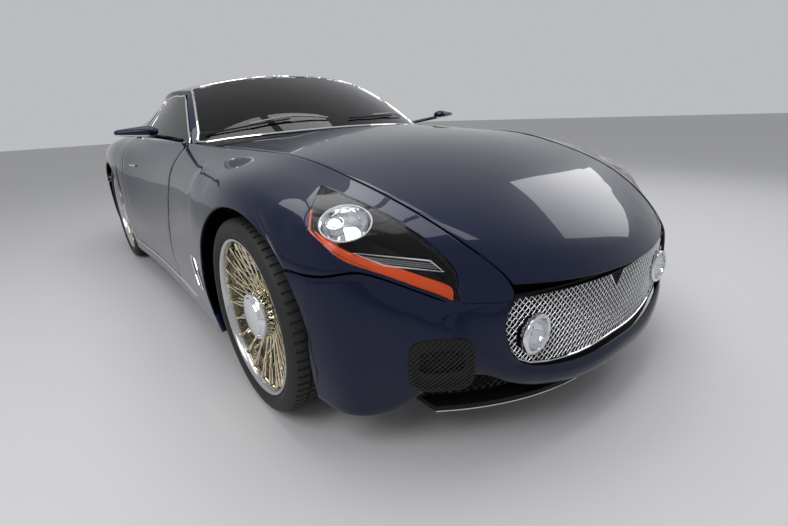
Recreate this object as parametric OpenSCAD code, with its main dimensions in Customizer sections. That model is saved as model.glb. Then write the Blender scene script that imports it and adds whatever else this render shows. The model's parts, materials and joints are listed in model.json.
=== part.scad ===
// Low two-seat concept coupe with wire wheels, built as separate panels, glass, lamps, cabin,
// suspension and wheels. X points forward, Y to the left, Z up; the origin is on the ground
// below the middle of the body.

/* [Body] */
// Length from the nose to the tail
body_l = 4380; // [4100:10:4700]
// Width over the rear haunches, without mirrors
body_w = 1940; // [1840:5:2040]
// Height of the roof above the ground
body_h = 1270; // [1200:5:1340]
// Distance between the front and rear axles
wheelbase = 2610; // [2520:10:2700]
// Nose to front axle
front_overhang = 880; // [820:5:940]
// Thickness of fenders, bumpers and lids
panel_t = 8; // [6:1:10]
// Thickness of a whole door
door_t = 90; // [60:2:110]
// Thickness of roof and pillars
roof_t = 24; // [20:1:45]
// Thickness of window glass
glass_t = 5; // [4:0.5:8]
// Shut line round doors and lids
shut_gap = 6; // [5:0.5:9]
// Clearance of a pin in its bore
pin_clear = 0.3; // [0.2:0.05:0.5]

/* [Wheels] */
// Diameter of the front tyres
tyre_f_d = 700; // [660:2:720]
// Diameter of the rear tyres
tyre_r_d = 706; // [660:2:730]
// Width of the front tyres
tyre_f_w = 255; // [225:5:275]
// Width of the rear tyres
tyre_r_w = 285; // [245:5:305]
// Diameter over the rim flanges
rim_d = 566; // [520:2:590]
// Distance between the front tyres' middles
track_f = 1606; // [1560:2:1620]
// Distance between the rear tyres' middles
track_r = 1600; // [1560:2:1620]
// Gap between a tyre and its arch
arch_gap = 44; // [40:1:56]
// Spokes in each of a wheel's four rows
spoke_row_count = 18; // [12:1:24]
// Diameter of a wire spoke
spoke_d = 5.5; // [4:0.5:7]

/* [Hidden] */
$fn = 48;
overrun = 2;
half_l = body_l / 2;
half_w = body_w / 2;
front_x = half_l - front_overhang;
rear_x = front_x - wheelbase;
arch_f_r = tyre_f_d / 2 + arch_gap;
arch_r_r = tyre_r_d / 2 + arch_gap;

// Places along the body side, as numbers of rows in body_shares
AT_NOSE = 0;
AT_GRILLE_END = 3;
AT_HOOD_CORNER = 4;
AT_ARCH_F = 6;
AT_AXLE_F = 7;
AT_ARCH_F_BACK = 8;
AT_ARCH_R = 12;
AT_AXLE_R = 13;
AT_ARCH_R_BACK = 14;
AT_TAIL = 18;
TOP_ROW = 5;

// Sections of the left body side from the nose to the tail, as shares of half_l (x), half_w (y and
// insets) and body_h (z). Columns: place x y and the plan direction that the skin faces, then
// inset and z of the bottom edge, of the lower flank, z of the widest line, inset and z of the
// shoulder and of the crest, and the top edge's own x y z.
body_shares = [
  [.993, .000, 0,  .012, .157,  .002, .169,  .181,  .003, .193,  .010, .202,  .984, .000, .207],
  [.987, .232, 7,  .012, .161,  .002, .172,  .184,  .003, .196,  .010, .205,  .979, .229, .211],
  [.963, .454, 20,  .014, .197,  .004, .208,  .220,  .001, .231,  .005, .242,  .958, .451, .250],
  [.936, .572, 36,  .014, .243,  .003, .265,  .287,  .002, .310,  .008, .334,  .949, .518, .354],
  [.902, .686, 50,  .026, .217,  .004, .268,  .323,  .004, .374,  .026, .421,  .944, .479, .438],
  [.850, .802, 66,  .046, .130,  .010, .236,  .331,  .005, .417,  .043, .504,  .881, .544, .526],
  [(front_x + arch_f_r) / half_l, .912, 90,  .036, .122,  .008, .236,  .339,  .008, .453,  .054, .567,
    (front_x + arch_f_r) / half_l, .608, .608],
  [front_x / half_l, .981, 90,  .036, .122,  .006, .236,  .362,  .008, .512,  .072, .636,
    front_x / half_l, .665, .683],
  [(front_x - arch_f_r) / half_l, .985, 90,  .031, .118,  .004, .236,  .354,  .014, .516,  .085, .639,
    (front_x - arch_f_r) / half_l, .711, .701],
  [.183, .965, 90,  .023, .118,  .008, .228,  .339,  .033, .520,  .082, .635,  .183, .768, .711],
  [-.037, .959, 90,  .021, .118,  .008, .228,  .331,  .035, .520,  .076, .633,  -.037, .809, .717],
  [-.233, .969, 90,  .021, .118,  .008, .228,  .339,  .029, .524,  .060, .642,  -.233, .830, .722],
  [(rear_x + arch_r_r) / half_l, .988, 90,  .023, .118,  .006, .236,  .370,  .008, .547,  .045, .665,
    (rear_x + arch_r_r) / half_l, .825, .731],
  [rear_x / half_l, 1.000, 90,  .031, .126,  .004, .244,  .402,  .008, .571,  .064, .687,
    rear_x / half_l, .768, .746],
  [(rear_x - arch_r_r) / half_l, .974, 90,  .031, .134,  .004, .252,  .394,  .014, .555,  .080, .669,
    (rear_x - arch_r_r) / half_l, .660, .732],
  [-.916, .856, 128,  .062, .161,  .012, .264,  .378,  .006, .524,  .049, .638,  -.906, .593, .713],
  [-.973, .608, 156,  .072, .173,  .015, .272,  .378,  .006, .520,  .035, .630,  -.963, .505, .703],
  [-.992, .309, 171,  .077, .177,  .016, .276,  .378,  .008, .516,  .029, .628,  -.983, .294, .706],
  [-.997, .000, 180,  .077, .180,  .016, .276,  .378,  .008, .516,  .027, .628,  -.989, .000, .709],
];

// A smooth curve through b and c, with a and d as the neighbours that set its direction
function smooth(a, b, c, d, f) =
  ((3 * b - a - 3 * c + d) * f * f * f + (2 * a - 5 * b + 4 * c - d) * f * f + (c - a) * f + 2 * b) / 2;
function lerp(a, b, f) = a + (b - a) * f;
function across(row) = [for (i = [0:len(row) - 1]) (i == 1 || i == 13) ? -row[i] : i == 2 ? 360 - row[i] : row[i]];
function body_row(i) =
  i < 0 ? [for (k = [0:len(body_shares[1]) - 1]) k == 2 ? -body_shares[1][k] : across(body_shares[1])[k]]
  : i >= len(body_shares) ? across(body_shares[AT_TAIL - 1]) : body_shares[i];
function body_section(t) =
  let (i = min(AT_TAIL - 1, floor(t)),
       r = smooth(body_row(i - 1), body_row(i), body_row(i + 1), body_row(i + 2), t - i),
       face = [cos(r[2]), sin(r[2])],
       base = [r[0] * half_l, r[1] * half_w])
  let (inset = function (d, z) let (p = base - face * d * half_w) [p[0], p[1], z * body_h])
  [inset(r[3], r[4]), inset(r[5], r[6]), inset(0, r[7]), inset(r[8], r[9]), inset(r[10], r[11]),
   [r[12] * half_l, r[13] * half_w, r[14] * body_h]];
function along_section(s, v) =
  let (i = min(TOP_ROW - 1, max(0, floor(v))),
       before = i == 0 ? 2 * s[0] - s[1] : s[i - 1],
       after = i == TOP_ROW - 1 ? 2 * s[TOP_ROW] - s[TOP_ROW - 1] : s[i + 2])
  smooth(before, s[i], s[i + 1], after, v - i);
// A point of the skin: t runs from the nose to the tail, v from the bottom edge to the top edge
function skin(t, v) =
  let (p = along_section(body_section(abs(t)), v)) t < 0 ? [p[0], -p[1], p[2]] : p;

// Where the skin at t reaches height z, found by halving
function row_at_height(t, z, low = 0, high = TOP_ROW, tries = 14) =
  let (mid = (low + high) / 2)
  tries == 0 ? mid
  : skin(t, mid)[2] < z ? row_at_height(t, z, mid, high, tries - 1) : row_at_height(t, z, low, mid, tries - 1);
// Where the body side reaches length x, found by halving between two places
function place_at_x(x, from, to, tries = 16) =
  let (mid = (from + to) / 2)
  tries == 0 ? mid
  : skin(mid, 2)[0] > x ? place_at_x(x, mid, to, tries - 1) : place_at_x(x, from, mid, tries - 1);

// Sheets: two grids of points, outer and inner, closed along their borders
function grid_normal(g, i, j) =
  let (n = len(g) - 1, m = len(g[0]) - 1,
       a = g[min(i + 1, n)][j] - g[max(i - 1, 0)][j],
       b = g[i][min(j + 1, m)] - g[i][max(j - 1, 0)],
       c = cross(a, b))
  c / norm(c);
function thickened(g, t) =
  [for (i = [0:len(g) - 1]) [for (j = [0:len(g[0]) - 1]) g[i][j] - grid_normal(g, i, j) * t]];
function shifted(g, d) = [for (col = g) [for (p = col) p + d]];
module slab(outer, inner, keep = function (i, j) true) {
  n = len(outer);
  m = len(outer[0]);
  function here(i, j) = i >= 0 && j >= 0 && i < n - 1 && j < m - 1 && keep(i, j);
  function o(i, j) = i * m + j;
  function u(i, j) = n * m + i * m + j;
  function wall(a, b, c, d) = [[a, b, c], [a, c, d]];
  faces = [for (i = [0:n - 2]) for (j = [0:m - 2]) if (here(i, j)) each concat(
    wall(o(i, j), o(i, j + 1), o(i + 1, j + 1), o(i + 1, j)),
    wall(u(i, j), u(i + 1, j), u(i + 1, j + 1), u(i, j + 1)),
    here(i - 1, j) ? [] : wall(o(i, j), u(i, j), u(i, j + 1), o(i, j + 1)),
    here(i + 1, j) ? [] : wall(o(i + 1, j), o(i + 1, j + 1), u(i + 1, j + 1), u(i + 1, j)),
    here(i, j - 1) ? [] : wall(o(i, j), o(i + 1, j), u(i + 1, j), u(i, j)),
    here(i, j + 1) ? [] : wall(o(i, j + 1), u(i, j + 1), u(i + 1, j + 1), o(i + 1, j + 1)))];
  polyhedron(points = concat([for (col = outer) each col], [for (col = inner) each col]), faces = faces);
}
module sheet(g, t, keep = function (i, j) true) slab(g, thickened(g, t), keep);
module both() {
  children();
  mirror([0, 1, 0]) children();
}
function spread(from, to, n) = [for (i = [0:n]) lerp(from, to, i / n)];
function reversed(l) = [for (i = [len(l) - 1:-1:0]) l[i]];
// The direction that the skin faces at t, v
probe = .02;
function skin_face(t, v) =
  let (a = skin(t + probe, v) - skin(t - probe, v),
       b = skin(t, min(TOP_ROW, v + probe)) - skin(t, max(0, v - probe)),
       c = cross(a, b))
  c / norm(c);
// A point below the skin, on the left for t above 0 and on the right below 0
function under_skin(t, v, depth) =
  let (p = skin(abs(t), v) - (depth == 0 ? [0, 0, 0] : skin_face(abs(t), v) * depth))
  t < 0 ? [p[0], -p[1], p[2]] : p;
function skin_grid(places, depth) = [for (col = places) [for (tv = col) under_skin(tv[0], tv[1], depth)]];
module skin_sheet(places, t, depth = 0, keep = function (i, j) true)
  slab(skin_grid(places, depth), skin_grid(places, depth + t), keep);
// Columns of [place, row] pairs between a low and a high border
function band(places, low, high, rows) =
  [for (t = places) [for (j = [0:rows]) [t, lerp(low(t), high(t), j / rows)]]];
// Columns of the left half repeated on the right, from the right end to the left end
function flipped(col) = [for (tv = col) [-tv[0], tv[1]]];
function mirrored(cols) = concat([for (i = [len(cols) - 1:-1:1]) flipped(cols[i])], cols);

// A value along a table of [place, value] pairs
function through(line, t) =
  let (n = len(line) - 1, u = min(line[n][0], max(line[0][0], t)),
       i = min(n - 1, max(0, len([for (p = line) if (p[0] <= u) 1]) - 1)))
  smooth(line[max(0, i - 1)][1], line[i][1], line[i + 1][1], line[min(n, i + 2)][1],
         (u - line[i][0]) / (line[i + 1][0] - line[i][0]));
// A smooth curve through points given as shares of half_l, half_w and body_h
function placed(p) = [p[0] * half_l, p[1] * half_w, p[2] * body_h];
function curve(points, f) =
  let (n = len(points) - 1, i = min(n - 1, floor(f * n)))
  placed(smooth(i == 0 ? 2 * points[0] - points[1] : points[i - 1], points[i], points[i + 1],
                i == n - 1 ? 2 * points[n] - points[n - 1] : points[i + 2], f * n - i));
// A panel across the car between a spine and a left edge, as a grid from front to rear and left to right
function crown(spine, edge, s, power) =
  [lerp(spine[0], edge[0], s * s), edge[1] * s, lerp(spine[2], edge[2], pow(abs(s), power))];
function crown_grid(spine, edge, n, m, power = 2) =
  [for (i = [0:n]) [for (s = spread(1, -1, m)) crown(spine(i / n), edge(i / n), s, power)]];
function ruled(a, b, n, m) = [for (i = [0:n]) [for (j = [0:m]) lerp(a(i / n), b(i / n), j / m)]];

// Wheel arches: points of an arch's edge as [place, row], by the angle from straight ahead
tyre_f_r = tyre_f_d / 2;
tyre_r_r = tyre_r_d / 2;
function arch_point(x, z, r, a, from, to) =
  let (t = place_at_x(x + r * cos(a), from, to)) [t, row_at_height(t, z + r * sin(a))];
function front_arch(a) = arch_point(front_x, tyre_f_r, arch_f_r, a, AT_ARCH_F, AT_ARCH_F_BACK);
function rear_arch(a) = arch_point(rear_x, tyre_r_r, arch_r_r, a, AT_ARCH_R, AT_ARCH_R_BACK);
sill_top_share = .185;
sill_top = sill_top_share * body_h;
arch_f_end = 180 - asin((sill_top - tyre_f_r) / arch_f_r);
arch_r_end = asin((sill_top - tyre_r_r) / arch_r_r);
// A column of [place, row] pairs between two points of the borders
function column(low, high, shares) = [for (f = shares) lerp(low, high, f)];
function even(n) = spread(0, 1, n);

// Front end

// Lamp opening and the bumper's joint behind it: [place, row] along the front fender
lamp_low_shares = [[3.86, 4.24], [4.4, 3.97], [5, 3.76], [5.5, 3.70], [6.06, 3.92]];
lamp_high_shares = [[3.86, 4.33], [4.4, 4.60], [5, 4.72], [5.5, 4.74], [6.06, 4.66]];
joint_low_shares = [[5, 3.69], [5.4, 3.52], [5.8, 3.28], [6.06, 3.15], [6.5, 3.02], [7, 3]];
lamp_from = lamp_low_shares[0][0];
lamp_to = lamp_low_shares[len(lamp_low_shares) - 1][0];
lamp_skew = .55;
lamp_rim = .07;
fender_from = 3.65;
fender_first_row = 4.85;
function bumper_top(t) =
  t < fender_from ? TOP_ROW
  : t < lamp_from ? lerp(fender_first_row, through(lamp_low_shares, lamp_from) - lamp_rim,
                         (t - fender_from) / (lamp_from - fender_from))
  : t < joint_low_shares[0][0] ? through(lamp_low_shares, t) - lamp_rim
  : through(joint_low_shares, t);
lamp_places = spread(lamp_from, lamp_to, 10);
// The joint meets the arch's edge at this angle
joint_angle = 40;
joint_end = front_arch(joint_angle);
joint_places = spread(lamp_to, joint_end[0], 3);

bumper_rows = 6;
edge_step = .012;
bumper_arch_angles = [-24, -8, 8, 22, 34];
// Rows that a shut line takes from a bumper's top edge beside a wing
shut_rows = .05;
function bumper_edge(t) = bumper_top(t) - (t < fender_from ? 0 : shut_rows);
nose_to = 5.9;
nose_places = concat(spread(0, 3, 9), [3.3, fender_from - edge_step, fender_from], [for (t = lamp_places) if (t < nose_to) t]);
// Corner intakes: columns from the middle and rows from below that stay open
intake_columns = [10, 15];
intake_rows = [1, 3];
module front_bumper() {
  last = len(bumper_arch_angles) - 1;
  turned = [for (k = [0:last]) let (t = lerp(nose_to, joint_end[0] - edge_step, (k + 1) / (last + 1)))
    column(front_arch(bumper_arch_angles[k]), [t, (k == last ? joint_end[1] : bumper_top(t)) - shut_rows], even(bumper_rows))];
  half = concat([for (t = nose_places) column([t, 0], [t, bumper_edge(t)], even(bumper_rows))], turned);
  n = len(half) - 1;
  from_middle = function (i) i < n ? n - 1 - i : i - n;
  in_intake = function (i, j) i >= intake_columns[0] && i < intake_columns[1] && j >= intake_rows[0] && j < intake_rows[1];
  color("midnightblue") skin_sheet(mirrored(half), panel_t, keep = function (i, j) !in_intake(from_middle(i), j));
}

door_front_share = .137;
door_rear_share = -.356;
door_front_x = door_front_share * half_l;
door_rear_x = door_rear_share * half_l;
door_front_gap = shut_gap + 3;
door_from = place_at_x(door_front_x, AT_ARCH_F_BACK, AT_ARCH_R);
door_to = place_at_x(door_rear_x, AT_ARCH_F_BACK, AT_ARCH_R);
fender_to = place_at_x(door_front_x + door_front_gap, AT_ARCH_F_BACK, AT_ARCH_R);
quarter_from = place_at_x(door_rear_x - shut_gap, AT_ARCH_F_BACK, AT_ARCH_R);
function sill_row(t) = row_at_height(t, sill_top);
fender_sill_places = spread(front_arch(arch_f_end)[0], fender_to, 5);
quarter_sill_places = spread(quarter_from, rear_arch(arch_r_end)[0], 3);
sill_places = concat(fender_sill_places, spread(door_from, door_to, 8), quarter_sill_places);

// Rows of the fender: its low border, the lamp's two borders with rows between, and its top edge
LAMP_LOW = 1;
LAMP_HIGH = 4;
FENDER_ROWS = 8;
function lamp_row(t, j) =
  let (low = t < lamp_from ? bumper_top(t) + lamp_rim : through(lamp_low_shares, t),
       high = t < lamp_from ? low + lamp_rim : through(lamp_high_shares, t))
  j == 0 ? bumper_top(t) : j <= LAMP_HIGH ? lerp(low, high, (j - LAMP_LOW) / (LAMP_HIGH - LAMP_LOW))
  : lerp(high, TOP_ROW, (j - LAMP_HIGH) / (FENDER_ROWS - LAMP_HIGH));
function lamp_lean(t) = lamp_skew * max(0, (t - 5) / (lamp_to - 5));
function lamp_place(t, j) =
  let (v = lamp_row(t, j)) [t + lamp_lean(t) * max(0, v - lamp_row(t, LAMP_LOW)), v];
// Behind the lamp the rows even out along the columns that fan round the arch
lamp_shares = [for (j = [0:FENDER_ROWS])
  (lamp_row(lamp_to, j) - bumper_top(lamp_to)) / (TOP_ROW - bumper_top(lamp_to))];
fan_first_top = lamp_place(lamp_to, FENDER_ROWS)[0];
fan_last_top = 8.45;
fan_low = concat([for (i = [1:len(joint_places) - 1]) [joint_places[i], i == len(joint_places) - 1 ? joint_end[1] : bumper_top(joint_places[i])]],
  [for (a = [52:12:184]) front_arch(a)], [front_arch(arch_f_end)]);
fan_fade = 6;
function fan_column(k) =
  let (top = lerp(fan_first_top, fan_last_top, (k + 1) / len(fan_low)), f = min(1, (k + 1) / fan_fade))
  column(fan_low[k], [top, TOP_ROW], lerp(lamp_shares, even(FENDER_ROWS), f));
fender_first = [fender_from, 3.85];
module front_fenders() {
  n = len(fender_sill_places) - 1;
  places = concat(
    [for (t = concat(fender_first, lamp_places)) [for (j = [0:FENDER_ROWS]) lamp_place(t, j)]],
    [for (k = [0:len(fan_low) - 1]) fan_column(k)],
    [for (i = [1:n]) let (t = fender_sill_places[i])
      column([t, sill_row(t)], [lerp(fan_last_top, fender_to, i / n), TOP_ROW], even(FENDER_ROWS))]);
  lamp_first = len(fender_first);
  lamp_last = lamp_first + len(lamp_places) - 1;
  in_lamp = function (i, j) i >= lamp_first && i < lamp_last && j >= LAMP_LOW && j < LAMP_HIGH;
  color("midnightblue") both() skin_sheet(places, panel_t, keep = function (i, j) !in_lamp(i, j));
}

// Headlamps: u runs along the lamp from its tip to its rear end, w up
function lamp_at(u, w) = lamp_place(lerp(lamp_from, lamp_to, u), lerp(LAMP_LOW, LAMP_HIGH, w));
function lamp_block(us, ws) = [for (u = us) [for (w = ws) lamp_at(u, w)]];
lens_t = 4;
bucket_depth = 90;
bucket_wall = 4;
module headlamp_lenses() {
  color("lightcyan", .4) difference() {
    both() skin_sheet(lamp_block(spread(0, 1, len(lamp_places) - 1), spread(0, 1, LAMP_HIGH - LAMP_LOW)), lens_t);
    front_fenders();
  }
}
module headlamp_buckets() {
  us = concat([.02], spread(.08, .94, 7), [.98]);
  ws = concat([.06], spread(.14, .86, 3), [.94]);
  deep = function (i, j, n, m) i == 0 || j == 0 || i == n || j == m ? lens_t + overrun : bucket_depth;
  n = len(us) - 1;
  m = len(ws) - 1;
  front = [for (i = [0:n]) [for (j = [0:m]) let (tv = lamp_at(us[i], ws[j])) under_skin(tv[0], tv[1], deep(i, j, n, m))]];
  back = [for (i = [0:n]) [for (j = [0:m])
    let (tv = lamp_at(i == 0 ? 0 : i == n ? 1 : us[i], j == 0 ? 0 : j == m ? 1 : ws[j]))
    under_skin(tv[0], tv[1], deep(i, j, n, m) + bucket_wall)]];
  color("dimgray") difference() {
    both() slab(front, back);
    headlamp_lenses();
    front_fenders();
  }
}

// Sides

module sills() {
  sill_in_share = .835;
  sill_in = sill_in_share * half_w;
  rows = 3;
  places = band(sill_places, function (t) 0, function (t) sill_row(t), rows);
  outer = skin_grid(places, 0);
  color("midnightblue") both() slab(outer, [for (col = outer) [for (p = col) [p[0], sill_in, p[2]]]]);
}

door_rows = 8;
door_places = spread(door_from, door_to, 10);
belt_drop = .03;
function door_low(t) = row_at_height(t, sill_top + shut_gap);
// The door turns on two vertical pins near its front edge
hinge_back = 90;
hinge_inset_share = .062;
hinge_x = door_front_x - hinge_back;
hinge_y = half_w * (1 - hinge_inset_share);
hinge_z_shares = [.255, .395];
pin_r = 8;
arm_h = 18;
arm_w = 22;
eye_r = 9;
arm_clear = 6;
post_y_share = .795;
post_y = post_y_share * half_w;
module door_slab() {
  outer = skin_grid(band(door_places, function (t) door_low(t), function (t) TOP_ROW, door_rows), 0);
  slab(outer, shifted(outer, [0, -door_t, 0]));
}
module door() {
  difference() {
    door_slab();
    for (share = hinge_z_shares) translate([hinge_x, hinge_y, share * body_h]) {
      translate([-arm_w, -door_t, -arm_h / 2 - arm_clear])
        cube([hinge_back + arm_w + door_front_gap, door_t + eye_r + overrun, arm_h + 2 * arm_clear]);
      cylinder(r = pin_r + pin_clear, h = arm_h + 2 * arm_clear + 60, center = true);
    }
  }
}
module door_left() color("midnightblue") door();
module door_right() color("midnightblue") mirror([0, 1, 0]) door();
module door_hinges() {
  color("dimgray") both() for (share = hinge_z_shares) translate([hinge_x, 0, share * body_h]) {
    translate([-arm_w / 2, post_y, -arm_h / 2]) cube([arm_w, hinge_y - post_y, arm_h]);
    translate([0, hinge_y, 0]) cylinder(r = eye_r, h = arm_h, center = true);
    translate([0, hinge_y, 0]) cylinder(r = pin_r, h = arm_h + 2 * arm_clear + 50, center = true);
  }
}

// Rear end
rear_joint_row = 2.5;
quarter_to = 15.6;
rear_joint_angle = 146;
rear_joint_end = rear_arch(rear_joint_angle);
tail_places = [14.5, 15, quarter_to];
function rear_joint(t) =
  lerp(rear_joint_end[1], rear_joint_row, min(1, (t - rear_joint_end[0]) / (tail_places[0] - rear_joint_end[0])));
QUARTER_ROWS = 8;
module quarter_panels() {
  fan_low = concat([for (t = quarter_sill_places) [t, sill_row(t)]], [for (a = [-4:12:140]) rear_arch(a)], [rear_joint_end],
    [for (t = tail_places) [t, rear_joint_row]]);
  n = len(fan_low) - 1;
  tail = len(tail_places);
  top = function (k) k > n - tail ? fan_low[k][0] : lerp(quarter_from, 14.15, k / (n - tail));
  color("midnightblue") both() skin_sheet(
    [for (k = [0:n]) column(fan_low[k], [top(k), TOP_ROW], even(QUARTER_ROWS))], panel_t);
}
arch_steps = 4;
rear_bumper_angles = [154, 166, 178, 192, 202];
rear_bumper_places = [14.3, 14.5, 15, quarter_to, 16, 16.5, 17, 17.5];
function bumper_joint(t) = rear_joint(t) - (t > quarter_to ? 0 : shut_rows);
module rear_bumper() {
  last = len(rear_bumper_angles) - 1;
  side = concat(
    [for (k = [0:last]) let (t = lerp(rear_joint_end[0] + arch_steps * edge_step, 14.1, k / last))
      column(rear_arch(rear_bumper_angles[k]), [t, bumper_joint(t)], even(bumper_rows))],
    [for (t = rear_bumper_places) column([t, 0], [t, bumper_joint(t)], even(bumper_rows))]);
  middle = column([AT_TAIL, 0], [AT_TAIL, rear_joint_row], even(bumper_rows));
  color("midnightblue") skin_sheet(concat(side, [middle], [for (i = [len(side) - 1:-1:0]) flipped(side[i])]), panel_t);
}
// The tail panel holds the lamps between two of its rows
TAIL_ROWS = 6;
lamp_rows = [2, 5];
tail_lamp_places = [quarter_to + edge_step, 16, 16.5, 17];
module tail_panel() {
  side = band(concat(tail_lamp_places, [17.5]), function (t) rear_joint_row, function (t) TOP_ROW, TAIL_ROWS);
  middle = column([AT_TAIL, rear_joint_row], [AT_TAIL, TOP_ROW], even(TAIL_ROWS));
  places = concat(side, [middle], [for (i = [len(side) - 1:-1:0]) flipped(side[i])]);
  n = len(places) - 1;
  lamps = len(tail_lamp_places) - 1;
  in_lamp = function (i, j) (i < lamps || i >= n - lamps) && j >= lamp_rows[0] && j < lamp_rows[1];
  color("midnightblue") skin_sheet(places, panel_t, keep = function (i, j) !in_lamp(i, j));
}
module tail_lamps() {
  row = function (j) lerp(rear_joint_row, TOP_ROW, j / TAIL_ROWS);
  color("firebrick") difference() {
    both() skin_sheet(band(tail_lamp_places, function (t) row(lamp_rows[0]), function (t) row(lamp_rows[1]),
                           lamp_rows[1] - lamp_rows[0]), panel_t);
    tail_panel();
  }
}

// Roof, glass and pillars, as points of half_l, half_w and body_h
rail_shares = [[-.047, .625, .927], [-.205, .619, .941], [-.365, .593, .925], [-.505, .530, .882]];
spine_shares = [[.012, 0, .981], [-.110, 0, 1], [-.320, 0, .985], [-.495, 0, .934]];
screen_foot_shares = [.301, .744, .162, .737, .7165];
module roof() {
  color("midnightblue")
    sheet(crown_grid(function (f) curve(spine_shares, f), function (f) curve(rail_shares, f), 8, 12, 2.3), roof_t);
}
function screen_foot(s) = placed([lerp(screen_foot_shares[0], screen_foot_shares[2], s * s),
  screen_foot_shares[3] * s, lerp(screen_foot_shares[1], screen_foot_shares[4], s * s)]);
header_in = .96;
function header(s) = crown(curve(spine_shares, 0), curve(rail_shares, 0), s, 2.3);
screen_bow = 18;
module windscreen_sheet() {
  m = 12;
  g = [for (f = spread(0, 1, 8)) [for (s = spread(1, -1, m))
    lerp(screen_foot(s), header(s * header_in), f) + [.4, 0, .9] * screen_bow * 4 * f * (1 - f)]];
  sheet(g, glass_t);
}
module windscreen() {
  color("slategray", .5) difference() {
    windscreen_sheet();
    roof();
  }
}
pillar_foot = 9.10;
pillar_t = 20;
module a_pillars() {
  n = 8;
  inner = function (f) lerp(screen_foot(1), header(header_in), f) + [.4, 0, .9] * screen_bow * 4 * f * (1 - f);
  foot = skin(pillar_foot, TOP_ROW);
  outer = function (f) lerp(foot, curve(rail_shares, 0), f) + [.3, .3, .8] * screen_bow * 4 * f * (1 - f);
  color("silver") difference() {
    both() sheet(ruled(outer, inner, n, 1), pillar_t);
    roof();
    windscreen_sheet();
    front_fenders();
  }
}
// Hood: its sides follow the fenders' top edges, its front is the grille's top edge
hood_front = 4;
hood_rear = 8.55;
hood_spine_shares = [[.995, 0, .424], [.945, 0, .500], [.815, 0, .609], [.620, 0, .701], [.365, 0, .746]];
lid_inset = shut_gap + 4;
function hood_side(f) = skin(lerp(hood_front, hood_rear, f), TOP_ROW) - [0, lid_inset, 0];
function hood_at(f, s) = crown(curve(hood_spine_shares, f), hood_side(f), s, 2.2);
hood_hinge_x_share = .256;
hood_hinge_z_share = .682;
hood_hinge_y_share = .62;
hood_hinge = [hood_hinge_x_share * half_l, hood_hinge_y_share * half_w, hood_hinge_z_share * body_h];
lid_arm_t = 14;
lid_arm_w = 24;
// An arm that reaches down and round below the fixed panel to the lid: [forward, up] from its pin
module lid_arm(reach, drop, rise) {
  rotate([90, 0, 0]) difference() {
    linear_extrude(lid_arm_t, center = true) union() {
      circle(d = lid_arm_w);
      polygon([[-lid_arm_w / 2, 0], [reach * .6 - lid_arm_w / 2, -drop - lid_arm_w / 2],
               [reach * .6 + lid_arm_w, -drop - lid_arm_w / 2], [reach + lid_arm_w, rise],
               [reach - lid_arm_w, rise], [reach * .6 + 4, -drop + lid_arm_w / 2], [lid_arm_w / 2, 0]]);
    }
    cylinder(r = pin_r + pin_clear, h = lid_arm_t + 2 * overrun, center = true);
  }
}
hood_reach = 160;
hood_drop = 92;
hood_rise = hood_at(1, hood_hinge[1] / hood_side(1)[1])[2] - hood_hinge[2] - panel_t;
module hood() {
  color("midnightblue") sheet([for (f = spread(0, 1, 14)) [for (s = spread(1, -1, 16)) hood_at(f, s)]], panel_t);
}
module hood_arms() {
  color("dimgray") difference() {
    both() translate(hood_hinge) lid_arm(hood_reach, hood_drop, hood_rise);
    hood();
  }
}
cowl_to = 9.06;
cowl_drop = 10;
module cowl() {
  side = function (f) skin(lerp(hood_rear + .06, cowl_to, f), TOP_ROW) - [0, .5, 0];
  front = placed(hood_spine_shares[4]) - [2 * shut_gap, 0, cowl_drop];
  foot = screen_foot(0) - [0, 0, cowl_drop];
  color("midnightblue") difference() {
    sheet(crown_grid(function (f) lerp(front, foot, f), side, 4, 16), panel_t / 2);
    front_fenders();
  }
}

// Rear window, quarter glass and the pillar between them
window_foot_shares = [-.794, .761, -.785, .560, .742];
window_in = .93;
function window_foot(s) = placed([lerp(window_foot_shares[0], window_foot_shares[2], s * s),
  window_foot_shares[3] * s, lerp(window_foot_shares[1], window_foot_shares[4], s * s)]);
function rear_header(s) = crown(curve(spine_shares, 1), curve(rail_shares, 1), s, 2.3);
window_bow = 24;
function window_at(f, s) =
  lerp(rear_header(s * window_in), window_foot(s), f) + [-.4, 0, .9] * window_bow * 4 * f * (1 - f);
module rear_window_sheet() {
  sheet([for (f = spread(0, 1, 8)) [for (s = spread(1, -1, 10)) window_at(f, s)]], glass_t);
}
module rear_window() {
  color("slategray", .5) difference() {
    rear_window_sheet();
    roof();
  }
}
glass_tip = 12.85;
pillar_to = 14.1;
module c_pillars() {
  outer = function (f) f < .5 ? lerp(curve(rail_shares, 1), skin(glass_tip, TOP_ROW), f * 2)
    : skin(lerp(glass_tip, pillar_to, f * 2 - 1), TOP_ROW);
  color("midnightblue") difference() {
    both() sheet(ruled(outer, function (f) window_at(f, 1), 10, 3), pillar_t);
    roof();
    rear_window_sheet();
    quarter_glass();
    quarter_panels();
  }
}
rail_split = .667;
glass_lift = 24;
module quarter_glass() {
  low = function (f) skin(lerp(quarter_from, glass_tip, f), TOP_ROW) + [0, 0, overrun];
  high = function (f) curve(rail_shares, lerp(rail_split, 1, f)) - [0, 0, roof_t];
  color("slategray", .5) both() sheet(ruled(low, high, 4, 3), glass_t);
}
glass_in = 26;
module door_glass() {
  low = function (f) skin(lerp(door_from + .12, door_to - edge_step, f), TOP_ROW) - [0, glass_in, -overrun];
  high = function (f) curve(rail_shares, lerp(.06, rail_split - edge_step, f)) - [0, 0, roof_t + shut_gap + overrun];
  color("slategray", .5) difference() {
    sheet(ruled(low, high, 8, 4), glass_t);
    door_slab();
  }
}
module door_glass_left() door_glass();
module door_glass_right() mirror([0, 1, 0]) door_glass();
mirror_shares = [.162, 1.021, .768];
mirror_r = 46;
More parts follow.
